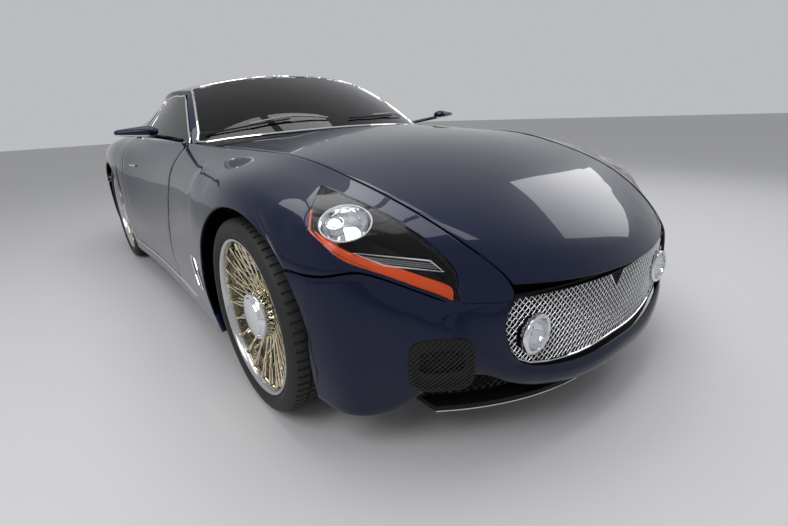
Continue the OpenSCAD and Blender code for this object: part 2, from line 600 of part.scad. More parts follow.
// Height of the mirror's wing and size of its outer end, as shares of its radius
mirror_flat_share = .58;
mirror_tip_share = .55;
mirror_in = 52;
mirror_out = 58;
mirror_sweep = 11;
stem_drop = 14;
module door_mirror() {
  c = placed(mirror_shares);
  root = skin(door_from + .25, TOP_ROW) + [0, -arm_w / 2, 0];
  color("midnightblue") {
    hull() {
      translate(c + [mirror_sweep, -mirror_in, 0]) scale([1, 1, mirror_flat_share]) sphere(r = mirror_r, $fn = 20);
      translate(c + [-mirror_sweep, mirror_out, 0]) scale([1, 1, mirror_flat_share])
        sphere(r = mirror_r * mirror_tip_share, $fn = 20);
    }
    hull() {
      translate(c + [0, -mirror_in, -stem_drop]) sphere(r = arm_w / 2, $fn = 16);
      translate(root + [0, 0, arm_w / 2]) sphere(r = arm_w / 2, $fn = 14);
    }
  }
}
module mirror_left() door_mirror();
module mirror_right() mirror([0, 1, 0]) door_mirror();

// Boot lid, hinged ahead of its front edge below the rear window
lid_front = 14.12;
lid_corner = 16.2;
lid_spine_shares = [[-.799, 0, .755], [-.88, 0, .742], [-.977, 0, .724]];
function lid_side(f) = skin(lerp(lid_front, lid_corner, f), TOP_ROW) + [f * f * 4 * shut_gap, -lid_inset, 0];
function lid_at(f, s) = crown(curve(lid_spine_shares, f), lid_side(f), s, 2.2);
lid_hinge_shares = [-.752, .40, .725];
lid_hinge = placed(lid_hinge_shares);
lid_reach = 130;
lid_drop = 96;
lid_rise = lid_at(.15, .5)[2] - lid_hinge[2] - panel_t;
module boot_lid() {
  color("midnightblue") sheet([for (f = spread(0, 1, 6)) [for (s = spread(1, -1, 12)) lid_at(f, s)]], panel_t);
}
module boot_arms() {
  color("dimgray") difference() {
    both() translate(lid_hinge) mirror([1, 0, 0]) lid_arm(lid_reach, lid_drop, lid_rise);
    boot_lid();
  }
}
// Pins and posts that carry the hood's and the boot lid's arms
post_w = 30;
module lid_pin(foot_z) {
  rotate([90, 0, 0]) cylinder(r = pin_r, h = 2 * lid_arm_t + post_w, center = false);
  translate([-post_w / 2, -lid_arm_t - post_w, foot_z]) cube([post_w, post_w, -foot_z + pin_r + 4]);
}

// Grille, bent round an upright axis behind the nose
grille_x_share = .977;
grille_bend_share = .86;
grille_x = grille_x_share * half_l;
grille_bend = grille_bend_share * half_l;
grille_w = 10;
frame_in = 6;
grille_drop = 19;
// The grille ends beside the wings
grille_to = fender_from - 2 * edge_step;
bend_fn = 360;
grille_depth = 16;
mesh_pitch = 30;
mesh_wire = 5;
mesh_t = 4;
function grille_outline(inset) =
  let (low = [for (t = spread(-grille_to, grille_to, 24)) let (p = under_skin(t, TOP_ROW, 0)) [p[1], p[2]]],
       high = [for (s = spread(1, -1, 16)) let (p = hood_at(0, s)) [p[1], p[2] - panel_t - shut_gap - grille_drop]],
       middle = (low[12] + high[8]) / 2)
  [for (p = concat(low, high)) p - (p - middle) * inset / max(60, norm(p - middle))];
module bent_sheet(t, back) {
  translate([grille_x - grille_bend, 0, 0]) intersection() {
    difference() {
      cylinder(r = grille_bend - back, h = body_h, $fn = bend_fn);
      translate([0, 0, -overrun]) cylinder(r = grille_bend - back - t, h = body_h + 2 * overrun, $fn = bend_fn);
    }
    translate([0, 0, 0]) rotate([90, 0, 90]) linear_extrude(grille_bend + overrun) children();
  }
}
module grille_frame() {
  color("silver") bent_sheet(grille_depth, 0) difference() {
    polygon(grille_outline(frame_in));
    polygon(grille_outline(grille_w));
  }
}
module grille_mesh() {
  color("silver") bent_sheet(mesh_t, grille_depth / 2) difference() {
    polygon(grille_outline(grille_w));
    for (side = [-1, 1]) translate([side * fog_shares[1] * half_w, fog_shares[2] * body_h]) circle(r = fog_r + pin_clear);
    intersection() {
      polygon(grille_outline(grille_w + mesh_wire));
      for (a = [-20:20]) for (b = [-20:20]) if ((a + b) % 2 == 0)
        translate([a * mesh_pitch * .7071, .305 * body_h + b * mesh_pitch * .7071]) rotate(45)
          square(mesh_pitch - mesh_wire, center = true);
    }
  }
}
// Driving lamps in the grille, and the headlamps' inner parts
fog_shares = [.958, .405, .315];
fog_r = 62;
fog_neck_r = 44;
module revolved_x(profile) rotate([0, 90, 0]) rotate_extrude() polygon(profile);
module driving_lamps() {
  color("whitesmoke") both() translate(placed(fog_shares))
    revolved_x([[0, -60], [fog_neck_r, -60], [fog_neck_r, -4], [fog_r, -4], [fog_r, 16], [fog_r * .86, 16], [fog_r * .8, 4], [0, 4]]);
}
// Place, row and size of the round unit of each headlamp
unit_u = .80;
unit_w = .55;
unit_r = 62;
module headlamp_units() {
  tv = lamp_at(unit_u, unit_w);
  face = skin_face(tv[0], tv[1]);
  c = under_skin(tv[0], tv[1], bucket_depth * .7);
  turn = atan2(face[1], face[0]) - 35;
  tilt = acos(face[2]) * .75;
  color("silver") both() translate(c) rotate([0, tilt, turn]) difference() {
    union() {
      cylinder(r1 = unit_r * .6, r2 = unit_r * .9, h = bucket_depth * .4);
      translate([0, 0, -bucket_depth * .3]) cylinder(r = pin_r, h = bucket_depth * .5);
    }
    translate([0, 0, bucket_depth * .25]) cylinder(r1 = unit_r * .5, r2 = unit_r * .9, h = bucket_depth * .2);
  }
}
// Amber strips behind the lenses' lower edges, as shares of the lowest row of the lens
strip_shares = [.32, .86];
strip_t = 14;
module indicator_strips() {
  us = [for (i = [1:len(lamp_places) - 2]) i / (len(lamp_places) - 1)];
  at = function (u, w, depth) let (tv = lamp_at(u, w)) under_skin(tv[0], tv[1], depth);
  layer = function (depth) [for (u = us) [for (share = strip_shares)
    lerp(at(u, 0, depth), at(u, 1 / (LAMP_HIGH - LAMP_LOW), depth), share)]];
  color("darkorange") difference() {
    both() slab(layer(lens_t + pin_clear), layer(lens_t + strip_t));
    headlamp_lenses();
  }
}

// Lower front: a blade below the nose with mesh behind its edge
splitter_tip_share = .962;
splitter_corner_shares = [.875, .625];
splitter_z_shares = [.110, .126];
splitter_back_share = .79;
function blade_edge(grow, n) = [for (s = spread(-1, 1, n))
  [lerp(splitter_tip_share, splitter_corner_shares[0], pow(abs(s), 2.4)) * half_l + grow,
   s * splitter_corner_shares[1] * half_w]];
splitter_back = splitter_back_share * half_l;
splitter_wide = splitter_corner_shares[1] * half_w;
module splitter() {
  color("black") translate([0, 0, splitter_z_shares[0] * body_h])
    linear_extrude((splitter_z_shares[1] - splitter_z_shares[0]) * body_h)
      polygon(concat(blade_edge(0, 20), [[splitter_back, splitter_wide], [splitter_back, -splitter_wide]]));
}
lower_mesh_back = 70;
lower_mesh_top_share = .235;
// The mesh behind the corner intakes is one column and one row wider than they are
module lower_mesh() {
  z = splitter_z_shares[1] * body_h;
  columns = [for (i = [intake_columns[0] - 1:intake_columns[1] + 1])
    [for (j = [intake_rows[0] - 1:intake_rows[1] + 1])
      column([nose_places[i], 0], [nose_places[i], bumper_edge(nose_places[i])], even(bumper_rows))[j]]];
  color("black") {
    translate([0, 0, z]) linear_extrude(lower_mesh_top_share * body_h - z)
      polygon(concat(blade_edge(-lower_mesh_back, 20), reversed(blade_edge(-lower_mesh_back - mesh_wire, 20))));
    for (side = [columns, [for (i = [len(columns) - 1:-1:0]) flipped(columns[i])]])
      skin_sheet(side, mesh_t, panel_t + 2 * pin_clear);
  }
}

// Chassis tub: floor, tunnel, bulkheads, posts and rails. Columns: from and to in x, y and z
tub_z = splitter_z_shares[0] * body_h;
floor_t = 30;
module block(x, y, z) translate([x[0], y[0], z[0]]) cube([x[1] - x[0], y[1] - y[0], z[1] - z[0]]);
sill_in_share = .835;
sill_in = sill_in_share * half_w;
firewall_x_share = .32;
firewall_x = firewall_x_share * half_l;
bulkhead_x_share = -.40;
bulkhead_x = bulkhead_x_share * half_l;
wall_t = 30;
floor_top = tub_z + floor_t;
cabin_y_share = .72;
cabin_y = cabin_y_share * half_w;
wall_top_share = .595;
post_top_share = .46;
post_top = post_top_share * body_h;
wall_top = wall_top_share * body_h;
rail_y = [330, 420];
rail_f_z = [180, 420];
rail_r_z = [430, 520];
tie_x_shares = [.12, -.36];
tie_y_share = .55;
tie_r = 8.5;
tower_top = 640;
tower_x = 70;
boot_z = [520, 550];
boot_y_share = .43;
boot_y = boot_y_share * half_w;
tunnel_w = 130;
tunnel_top = 420;
rail_front_share = .86;
tail_in_share = .93;
module tub() {
  union() {
    block([bulkhead_x, firewall_x], [-sill_in, sill_in], [tub_z, floor_top]);
    block([bulkhead_x, firewall_x], [-tunnel_w, tunnel_w], [floor_top, tunnel_top]);
    block([firewall_x - wall_t, firewall_x], [-cabin_y, cabin_y], [floor_top, wall_top]);
    block([bulkhead_x, bulkhead_x + wall_t], [-cabin_y, cabin_y], [floor_top, wall_top]);
    block([firewall_x, splitter_back], [-rail_y[1], rail_y[1]], [tub_z, tub_z + floor_t / 2]);
    block([-tail_in_share * half_l, bulkhead_x], [-boot_y, boot_y], boot_z);
    for (side = [-1, 1]) {
      block([hinge_x - post_w * 2, hinge_x + post_w * 2], side > 0 ? [cabin_y, post_y] : [-post_y, -cabin_y],
            [floor_top, post_top]);
      block([bulkhead_x, bulkhead_x + 2 * post_w], side > 0 ? [cabin_y, post_y] : [-post_y, -cabin_y],
            [floor_top, post_top]);
      block([hinge_x - post_w * 2, firewall_x], side > 0 ? [cabin_y - wall_t, cabin_y] : [-cabin_y, -cabin_y + wall_t],
            [floor_top, post_top]);
      y = side > 0 ? rail_y : [-rail_y[1], -rail_y[0]];
      block([firewall_x, rail_front_share * half_l], y, rail_f_z);
      block([-tail_in_share * half_l, bulkhead_x], y, rail_r_z);
      block([front_x - tower_x, front_x + tower_x], y, [rail_f_z[1], tower_top]);
    }
    block([-tail_in_share * half_l, -tail_in_share * half_l + wall_t], [-rail_y[1], rail_y[1]], rail_r_z);
  }
}
module floor_pan() {
  color("dimgray") difference() {
    tub();
    for (x = tie_x_shares) for (y = [-1, 1]) translate([x * half_l, y * tie_y_share * half_w, tub_z - overrun])
      cylinder(r = tie_r, h = floor_t + 2 * overrun);
  }
}
module lid_posts() {
  color("dimgray") both() {
    translate(hood_hinge) lid_pin(-150);
    translate([hood_hinge[0] - post_w / 2, hood_hinge[1] - lid_arm_t - post_w, hood_hinge[2] - 150])
      cube([firewall_x - wall_t - hood_hinge[0] + post_w / 2, post_w, post_w]);
    translate(lid_hinge) lid_pin(-lid_hinge[2] + boot_z[1]);
  }
}

// Cabin
seat_x_shares = [-.265, 0];
seat_y_share = .40;
seat_w = 480;
seat_h = 190;
back_h = 560;
back_t = 130;
back_lean = 15;
seat_nose_share = .8;
seat_dip_share = .86;
seat_nose = 50;
function seat_profile(l) =
  let (lean = back_h * sin(back_lean), top = seat_h / 2 + back_h * cos(back_lean), half_t = back_t / 2)
  [[0, 0], [l, 0], [l, seat_h * seat_nose_share], [l - seat_nose, seat_h], [half_t, seat_h * seat_dip_share],
   [half_t - lean, top], [-half_t - lean, top], [-half_t, seat_h / 2]];
module seat() {
  l = (seat_x_shares[1] - seat_x_shares[0]) * half_l;
  translate([seat_x_shares[0] * half_l, seat_y_share * half_w + seat_w / 2, floor_top])
    rotate([90, 0, 0]) linear_extrude(seat_w) polygon(seat_profile(l));
}
module seats() color("saddlebrown") both() seat();
dash_back_share = .15;
dash_y_share = .55;
dash_z_shares = [.50, .67];
wheel_tilt = 24;
steer_c_shares = [.09, .40, .585];
steer_r = 180;
column_r = 20;
column_l = 230;
module dashboard() {
  color("saddlebrown") difference() {
    union() {
      block([dash_back_share * half_l, firewall_x - wall_t], [-dash_y_share * half_w, dash_y_share * half_w], dash_z_shares * body_h);
      translate(placed(steer_c_shares)) rotate([0, 90 + wheel_tilt, 0]) cylinder(r = column_r, h = column_l);
      translate(placed(steer_c_shares)) rotate([0, 90 + wheel_tilt, 0]) translate([0, 0, -40])
        cylinder(r = pin_r, h = 60);
    }
  }
}
module steering_wheel() {
  color("black") translate(placed(steer_c_shares)) rotate([0, 90 + wheel_tilt, 0]) translate([0, 0, -50])
    difference() {
      union() {
        rotate_extrude() translate([steer_r, 0]) circle(r = 15);
        translate([0, 0, 5]) cylinder(r = 40, h = 40);
        for (a = [90, 210, 330]) rotate(a) translate([0, -14, 10]) cube([steer_r, 28, 12]);
      }
      translate([0, 0, -overrun]) cylinder(r = pin_r + pin_clear, h = 100);
    }
}
engine_x_shares = [.37, .62];
engine_y_share = .26;
engine_top_share = .55;
module engine() {
  color("gray") block(engine_x_shares * half_l, [-engine_y_share * half_w, engine_y_share * half_w],
                      [tub_z + floor_t / 2, engine_top_share * body_h]);
}
radiator_z_shares = [.14, .40];
module radiator() {
  x = rail_front_share * half_l;
  color("black") block([x, x + wall_t], [-rail_y[1], rail_y[1]], radiator_z_shares * body_h);
}

// Wheel housings, suspension and wheels
liner_t = 4;
liner_y_shares = [.433, .86];
liner_out = 8;
steer_room = 24;
module liner(x, z, r, y) {
  translate([x, 0, z]) intersection() {
    translate([0, y[1], 0]) rotate([90, 0, 0]) difference() {
      cylinder(r = r + liner_out + liner_t, h = y[1] - y[0]);
      translate([0, 0, -overrun]) cylinder(r = r + liner_out, h = y[1] - y[0] + 2 * overrun);
    }
    translate([-body_h, 0, 0]) cube([2 * body_h, half_w, body_h]);
  }
}
module wheel_liners() {
  color("black") both() {
    liner(front_x, tyre_f_r, arch_f_r + steer_room, liner_y_shares * half_w);
    liner(rear_x, tyre_r_r, arch_r_r, liner_y_shares * half_w);
  }
}
king_in = 98;
king_y = track_f / 2 - king_in;
king_r = 9;
spindle_r = 18;
arm_low_z = 190;
arm_high_z = 470;
arm_bar = [54, 24];
module front_suspension() {
  color("dimgray") both() translate([front_x, 0, 0]) for (low = [true, false]) {
    z = low ? arm_low_z : arm_high_z;
    translate([-arm_bar[0] / 2, rail_y[1], z]) cube([arm_bar[0], king_y - rail_y[1], arm_bar[1]]);
    translate([0, king_y, z]) cylinder(d = arm_bar[0], h = arm_bar[1]);
    translate([0, king_y, low ? z : z - 40]) cylinder(r = king_r, h = arm_bar[1] + 40);
  }
}
knuckle_gap = 4;
disc_r = 165;
disc_t = 12;
disc_in = 50;
module knuckle() {
  z = [arm_low_z + arm_bar[1] + knuckle_gap, arm_high_z - knuckle_gap];
  translate([front_x, king_y, 0]) difference() {
    union() {
      translate([0, 0, z[0]]) cylinder(r = 28, h = z[1] - z[0]);
      translate([0, 0, tyre_f_r]) rotate([-90, 0, 0]) cylinder(r = spindle_r, h = king_in + 40);
      translate([0, 0, tyre_f_r]) rotate([-90, 0, 0]) cylinder(r = spindle_r + 8, h = 28);
    }
    translate([0, 0, z[0] - overrun]) cylinder(r = king_r + pin_clear, h = z[1] - z[0] + 2 * overrun);
  }
}
module knuckle_left() color("dimgray") difference() { knuckle(); }
module knuckle_right() color("dimgray") mirror([0, 1, 0]) knuckle();
module rear_axle() {
  color("dimgray") union() {
    translate([rear_x, 0, tyre_r_r]) {
      rotate([90, 0, 0]) cylinder(r = 36, h = track_r - 2 * king_in, center = true);
      rotate([90, 0, 0]) cylinder(r = spindle_r, h = track_r + 80, center = true);
      sphere(r = 120);
    }
    for (side = [-1, 1]) translate([rear_x - 30, side > 0 ? rail_y[0] : -rail_y[1], tyre_r_r])
      cube([60, rail_y[1] - rail_y[0], rail_r_z[0] - tyre_r_r]);
  }
}

// Wheels turn about Y; their own y points outward from the tyre's middle
rim_r = rim_d / 2;
rim_wall = 5;
seat_r = rim_r - 21;
flange_t = 7;
function rim_half(w) = w / 2 - 16;
module revolved_y(profile) rotate([90, 0, 0]) mirror([0, 0, 1]) rotate_extrude() polygon(profile);
module tyre(d, w) {
  b = rim_half(w);
  r = d / 2;
  color("black") revolved_y([
    [seat_r, -b], [rim_r, -b], [rim_r + 8, -b - 7], [lerp(rim_r, r, .5), -w / 2], [r - 20, -w / 2 + 4], [r - 6, -w / 2 + 16],
    [r, -w / 2 + 34], [r, w / 2 - 34],
    [r - 6, w / 2 - 16], [r - 20, w / 2 - 4], [lerp(rim_r, r, .5), w / 2], [rim_r + 8, b + 7], [rim_r, b], [seat_r, b]]);
}
hub_r = 46;
cap_r = 86;
hub_y = [-64, 58];
// Rows of spokes: y on the hub, y on the rim and the turn between the two ends
spoke_rows = [[52, 62, 24], [40, 48, -24], [-26, 24, 30], [-40, 10, -30]];
module spoke(from, to) {
  d = to - from;
  translate(from) rotate([0, acos(d[2] / norm(d)), atan2(d[1], d[0])]) cylinder(d = spoke_d, h = norm(d), $fn = 24);
}
module wire_wheel(w) {
  b = rim_half(w);
  color("silver") difference() {
    union() {
      revolved_y([[seat_r - rim_wall, -b - flange_t], [rim_r, -b - flange_t], [rim_r, -b], [seat_r, -b], [seat_r, b], [rim_r, b],
                  [rim_r, b + flange_t], [seat_r - rim_wall, b + flange_t]]);
      revolved_y([[0, hub_y[0]], [hub_r, hub_y[0]], [hub_r, hub_y[1]], [cap_r, hub_y[1]], [cap_r, hub_y[1] + 14],
                  [cap_r * .55, hub_y[1] + 30], [0, hub_y[1] + 34]]);
      for (row = spoke_rows) for (i = [0:spoke_row_count - 1]) {
        a = 360 * i / spoke_row_count;
        spoke([(hub_r - 3) * cos(a), row[0], (hub_r - 3) * sin(a)],
              [(seat_r - rim_wall + 2) * cos(a + row[2]), row[1], (seat_r - rim_wall + 2) * sin(a + row[2])]);
      }
    }
    rotate([-90, 0, 0]) translate([0, 0, hub_y[0] - overrun]) cylinder(r = spindle_r + pin_clear, h = hub_y[1] - hub_y[0]);
  }
}
module wheel_at(x, d, track, side) translate([x, side * track / 2, d / 2]) mirror([0, side < 0 ? 1 : 0, 0]) children();
module wheel_front_left() wheel_at(front_x, tyre_f_d, track_f, 1) wire_wheel(tyre_f_w);
module wheel_front_right() wheel_at(front_x, tyre_f_d, track_f, -1) wire_wheel(tyre_f_w);
module wheel_rear_left() wheel_at(rear_x, tyre_r_d, track_r, 1) wire_wheel(tyre_r_w);
module wheel_rear_right() wheel_at(rear_x, tyre_r_d, track_r, -1) wire_wheel(tyre_r_w);
module tyre_front_left() wheel_at(front_x, tyre_f_d, track_f, 1) tyre(tyre_f_d, tyre_f_w);
module tyre_front_right() wheel_at(front_x, tyre_f_d, track_f, -1) tyre(tyre_f_d, tyre_f_w);
module tyre_rear_left() wheel_at(rear_x, tyre_r_d, track_r, 1) tyre(tyre_r_d, tyre_r_w);
module tyre_rear_right() wheel_at(rear_x, tyre_r_d, track_r, -1) tyre(tyre_r_d, tyre_r_w);
module disc() revolved_y([[hub_r + pin_clear, -disc_in - disc_t], [disc_r, -disc_in - disc_t], [disc_r, -disc_in],
  [hub_r + pin_clear, -disc_in]]);
module disc_front_left() color("gray") wheel_at(front_x, tyre_f_d, track_f, 1) disc();
module disc_front_right() color("gray") wheel_at(front_x, tyre_f_d, track_f, -1) disc();
module disc_rear_left() color("gray") wheel_at(rear_x, tyre_r_d, track_r, 1) disc();
module disc_rear_right() color("gray") wheel_at(rear_x, tyre_r_d, track_r, -1) disc();

// Exhaust: a silencer below the boot with four tailpipes
exhaust_r = 38;
exhaust_y_shares = [.30, .40];
exhaust_z_share = .135;
exhaust_l = 240;
// Each pipe's wall, and its narrower neck at the silencer
pipe_t = 3;
neck_l = 10;
silencer_l = 200;
silencer_z_share = .105;
module exhaust() {
  x = -half_l + exhaust_l;
  color("silver") {
    difference() {
      union() for (side = [-1, 1]) for (share = exhaust_y_shares)
        translate([-half_l, side * share * half_w, exhaust_z_share * body_h]) rotate([0, 90, 0])
          union() {
            cylinder(r = exhaust_r, h = exhaust_l - neck_l);
            cylinder(r = exhaust_r - pipe_t / 2, h = exhaust_l + overrun);
          }
      for (side = [-1, 1]) for (share = exhaust_y_shares)
        translate([-half_l - overrun, side * share * half_w, exhaust_z_share * body_h]) rotate([0, 90, 0])
          cylinder(r = exhaust_r - pipe_t, h = exhaust_l - 2 * neck_l);
    }
    block([x, x + silencer_l], [-rail_y[1], rail_y[1]], [silencer_z_share * body_h, rail_r_z[0]]);
  }
}

floor_pan();
sills();
front_bumper();
front_fenders();
headlamp_lenses();
headlamp_buckets();
headlamp_units();
indicator_strips();
grille_frame();
grille_mesh();
driving_lamps();
splitter();
lower_mesh();
quarter_panels();
rear_bumper();
tail_panel();
tail_lamps();
exhaust();
roof();
windscreen();
rear_window();
a_pillars();
c_pillars();
quarter_glass();
cowl();
door_hinges();
lid_posts();
door_left();
door_glass_left();
mirror_left();
door_right();
door_glass_right();
mirror_right();
hood();
hood_arms();
boot_lid();
boot_arms();
seats();
dashboard();
steering_wheel();
engine();
radiator();
wheel_liners();
front_suspension();
rear_axle();
knuckle_left();
knuckle_right();
wheel_front_left();
wheel_front_right();
wheel_rear_left();
wheel_rear_right();
tyre_front_left();
tyre_front_right();
tyre_rear_left();
tyre_rear_right();
disc_front_left();
disc_front_right();
disc_rear_left();
disc_rear_right();
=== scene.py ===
"""Finish of a low two-seat coupe: paint, glass, trim, wire wheels, lamps and cabin round its solids."""

import json
import math

import bmesh
import bpy
import numpy as np
from mathutils import Matrix, Vector
from mathutils.bvhtree import BVHTree

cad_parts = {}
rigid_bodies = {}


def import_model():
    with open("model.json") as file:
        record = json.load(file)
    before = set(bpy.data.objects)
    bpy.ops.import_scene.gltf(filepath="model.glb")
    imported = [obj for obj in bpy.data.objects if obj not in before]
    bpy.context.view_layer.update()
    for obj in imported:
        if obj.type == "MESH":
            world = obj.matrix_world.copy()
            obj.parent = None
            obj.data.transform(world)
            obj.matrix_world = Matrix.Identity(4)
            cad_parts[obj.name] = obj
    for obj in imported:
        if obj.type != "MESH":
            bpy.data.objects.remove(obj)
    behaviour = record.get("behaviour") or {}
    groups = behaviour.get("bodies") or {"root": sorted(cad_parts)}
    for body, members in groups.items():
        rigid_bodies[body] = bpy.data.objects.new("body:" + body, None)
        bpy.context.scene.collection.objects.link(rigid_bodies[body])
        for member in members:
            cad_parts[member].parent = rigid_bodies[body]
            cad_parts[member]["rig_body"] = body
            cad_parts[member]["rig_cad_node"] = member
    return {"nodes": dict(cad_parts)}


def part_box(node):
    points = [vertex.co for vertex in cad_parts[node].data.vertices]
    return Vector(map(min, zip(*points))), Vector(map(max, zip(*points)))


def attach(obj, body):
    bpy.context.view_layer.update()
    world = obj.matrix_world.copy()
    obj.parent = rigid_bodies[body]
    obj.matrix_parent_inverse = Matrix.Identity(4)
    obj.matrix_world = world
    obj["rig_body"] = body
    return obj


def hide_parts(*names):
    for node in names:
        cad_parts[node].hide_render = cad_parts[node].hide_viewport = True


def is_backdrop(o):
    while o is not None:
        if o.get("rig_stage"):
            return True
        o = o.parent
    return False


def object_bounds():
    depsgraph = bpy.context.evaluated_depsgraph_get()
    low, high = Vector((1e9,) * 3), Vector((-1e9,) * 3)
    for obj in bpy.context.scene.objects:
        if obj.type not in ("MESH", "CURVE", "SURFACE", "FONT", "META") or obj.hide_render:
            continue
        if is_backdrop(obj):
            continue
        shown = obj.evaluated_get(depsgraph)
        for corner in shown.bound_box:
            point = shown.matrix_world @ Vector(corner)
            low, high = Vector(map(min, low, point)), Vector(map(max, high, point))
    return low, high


bl_info = {
    "name": "Coupe Finish",
    "version": (1, 0, 0),
    "blender": (4, 5, 0),
    "location": "View3D > Sidebar > Coupe",
    "description": "Paint, glass, trim, wheels, lamps and cabin of a two-seat coupe",
    "category": "Object",
}

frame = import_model()
NODES = frame["nodes"]
CAD_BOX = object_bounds()
SIDES = {"left": 1, "right": -1}
CORNERS = ("front_left", "front_right", "rear_left", "rear_right")
MERGE = 1e-5
MM = 0.001
# Angles in degrees: flatness and squareness of merged quads, edges that count as sharp when they are
# creased and shaded, bevelled edges, sharp edges on wheels and on thin wires, and the bend that ends
# one side of a sheet
QUAD_FACE = 40
QUAD_SHAPE = 70
SHARP = 35
BEVEL_SHARP = 50
WHEEL_SHARP = 40
WIRE_SHARP = 80
PATCH_BEND = 40
# Rounded border of a panel
PANEL_EDGE = 1.2 * MM
# Where rays start, in metres: before the car, beside it and above it
AHEAD = 3
BESIDE = 2
ABOVE = 2


class CoupeSizes(bpy.types.PropertyGroup):
    """Sizes that a user would change."""

    wire_pitch: bpy.props.FloatProperty(
        name="Wire pitch", description="Distance between the grille's wires", default=0.0145, unit="LENGTH"
    )
    wire_d: bpy.props.FloatProperty(
        name="Wire", description="Diameter of the grille's wires", default=0.0034, unit="LENGTH"
    )
    spoke_d: bpy.props.FloatProperty(
        name="Spoke", description="Diameter of a wheel spoke", default=0.0060, unit="LENGTH"
    )
    spoke_count: bpy.props.IntProperty(
        name="Spokes", description="Spokes in each row of a wheel", default=23, min=12
    )
    trim_r: bpy.props.FloatProperty(
        name="Trim", description="Radius of the bright strips round the glass", default=0.006, unit="LENGTH"
    )
    tread_steps: bpy.props.IntProperty(name="Tread", description="Steps round a tyre", default=216, min=120)


class CoupeColours(bpy.types.PropertyGroup):
    """Colours that a user would change."""

    paint: bpy.props.FloatVectorProperty(
        name="Paint",
        description="Body paint under the clear coat",
        subtype="COLOR",
        default=(0.0017, 0.0048, 0.026),
    )
    spokes: bpy.props.FloatVectorProperty(
        name="Spokes", description="Warm plating of the spokes", subtype="COLOR", default=(0.93, 0.83, 0.60)
    )
    leather: bpy.props.FloatVectorProperty(
        name="Leather",
        description="Seats, dashboard and door cards",
        subtype="COLOR",
        default=(0.16, 0.075, 0.04),
    )
    amber: bpy.props.FloatVectorProperty(
        name="Amber", description="Indicator strips", subtype="COLOR", default=(0.66, 0.066, 0.006)
    )
    floor: bpy.props.FloatVectorProperty(
        name="Floor", description="Studio floor", subtype="COLOR", default=(0.62, 0.62, 0.63)
    )


class Value:
    """A shader socket that takes part in Python arithmetic."""

    def __init__(self, net, socket):
        self.net = net
        self.socket = socket

    def math(self, operation, *values):
        return self.net.make("ShaderNodeMath", {"operation": operation}, dict(enumerate(values)))

    def __add__(self, other):
        return self.math("ADD", self, other)

    def __mul__(self, other):
        return self.math("MULTIPLY", self, other)

    __radd__ = __add__
    __rmul__ = __mul__


# How much each finer octave of a noise counts
NOISE_ROUGH = 0.55


class Finish:
    """A material with one Principled shader."""

    def __init__(self, name, **sockets):
        self.material = bpy.data.materials.new(name)
        self.material.use_nodes = True
        self.tree = self.material.node_tree
        self.shader = self.tree.nodes["Principled BSDF"]
        self.set(self.shader, {key.replace("_", " "): value for key, value in sockets.items()})

    def set(self, node, values):
        for key, value in values.items():
            if isinstance(value, Value):
                self.tree.links.new(value.socket, node.inputs[key])
            elif isinstance(value, tuple) and node.inputs[key].type == "RGBA":
                node.inputs[key].default_value = (*value[:3], 1)
            else:
                node.inputs[key].default_value = value

    def make(self, kind, settings, values, out=0):
        node = self.tree.nodes.new(kind)
        for key, value in settings.items():
            setattr(node, key, value)
        self.set(node, values)
        return Value(self, node.outputs[out])

    def noise(self, scale, detail=3.0):
        where = self.make("ShaderNodeTexCoord", {}, {}, "Object")
        values = {"Vector": where, "Scale": scale, "Detail": detail, "Roughness": NOISE_ROUGH}
        return self.make("ShaderNodeTexNoise", {}, values)

    def cells(self, scale):
        where = self.make("ShaderNodeTexCoord", {}, {}, "Object")
        return self.make("ShaderNodeTexVoronoi", {}, {"Vector": where, "Scale": scale})

    def mixed(self, factor, low, high):
        return self.make("ShaderNodeMix", {"data_type": "RGBA"}, {0: factor, 6: low, 7: high}, 2)

    def bumped(self, height, strength, distance):
        values = {"Height": height, "Strength": strength, "Distance": distance}
        self.set(self.shader, {"Normal": self.make("ShaderNodeBump", {}, values)})

    def colour(self, factor, low, high):
        self.set(self.shader, {"Base Color": self.mixed(factor, low, high)})

    def rough(self, value):
        self.set(self.shader, {"Roughness": value})


def shaded(colour, share):
    return tuple(channel * share for channel in colour)


def paint_finish(colour):
    """Deep metallic blue: fine flake under a clear coat with a trace of orange peel."""
    finish = Finish(
        "navy_paint",
        Metallic=0.3,
        Specular_IOR_Level=0.06,
        Coat_Weight=1.0,
        Coat_Roughness=0.012,
        Coat_IOR=1.34,
    )
    flake = finish.cells(scale=1400)
    finish.colour(flake, shaded(colour, 0.6), shaded(colour, 1.6))
    finish.rough(0.24 + 0.12 * finish.noise(scale=500))
    finish.bumped(finish.noise(scale=70, detail=2), strength=0.02, distance=0.001)
    return finish.material


def metal_finish(name, colour, rough, grain):
    finish = Finish(name, Metallic=1.0)
    finish.colour(finish.noise(scale=14), shaded(colour, 0.9), colour)
    finish.rough(rough + grain * finish.noise(scale=240))
    return finish.material


def plain_finish(name, colour, rough, scale, height, gloss=0.5):
    """Moulded or coated stuff with a fine grain."""
    finish = Finish(name, Specular_IOR_Level=gloss)
    grain = finish.noise(scale)
    finish.colour(grain, shaded(colour, 0.75), shaded(colour, 1.25))
    finish.rough(rough + 0.15 * grain)
    finish.bumped(grain, strength=0.35, distance=height)
    return finish.material


def glass_finish(name, colour, index):
    finish = Finish(name, Transmission_Weight=1.0, IOR=index)
    finish.colour(finish.noise(scale=5), shaded(colour, 0.94), colour)
    finish.rough(0.012 * finish.noise(scale=30))
    return finish.material


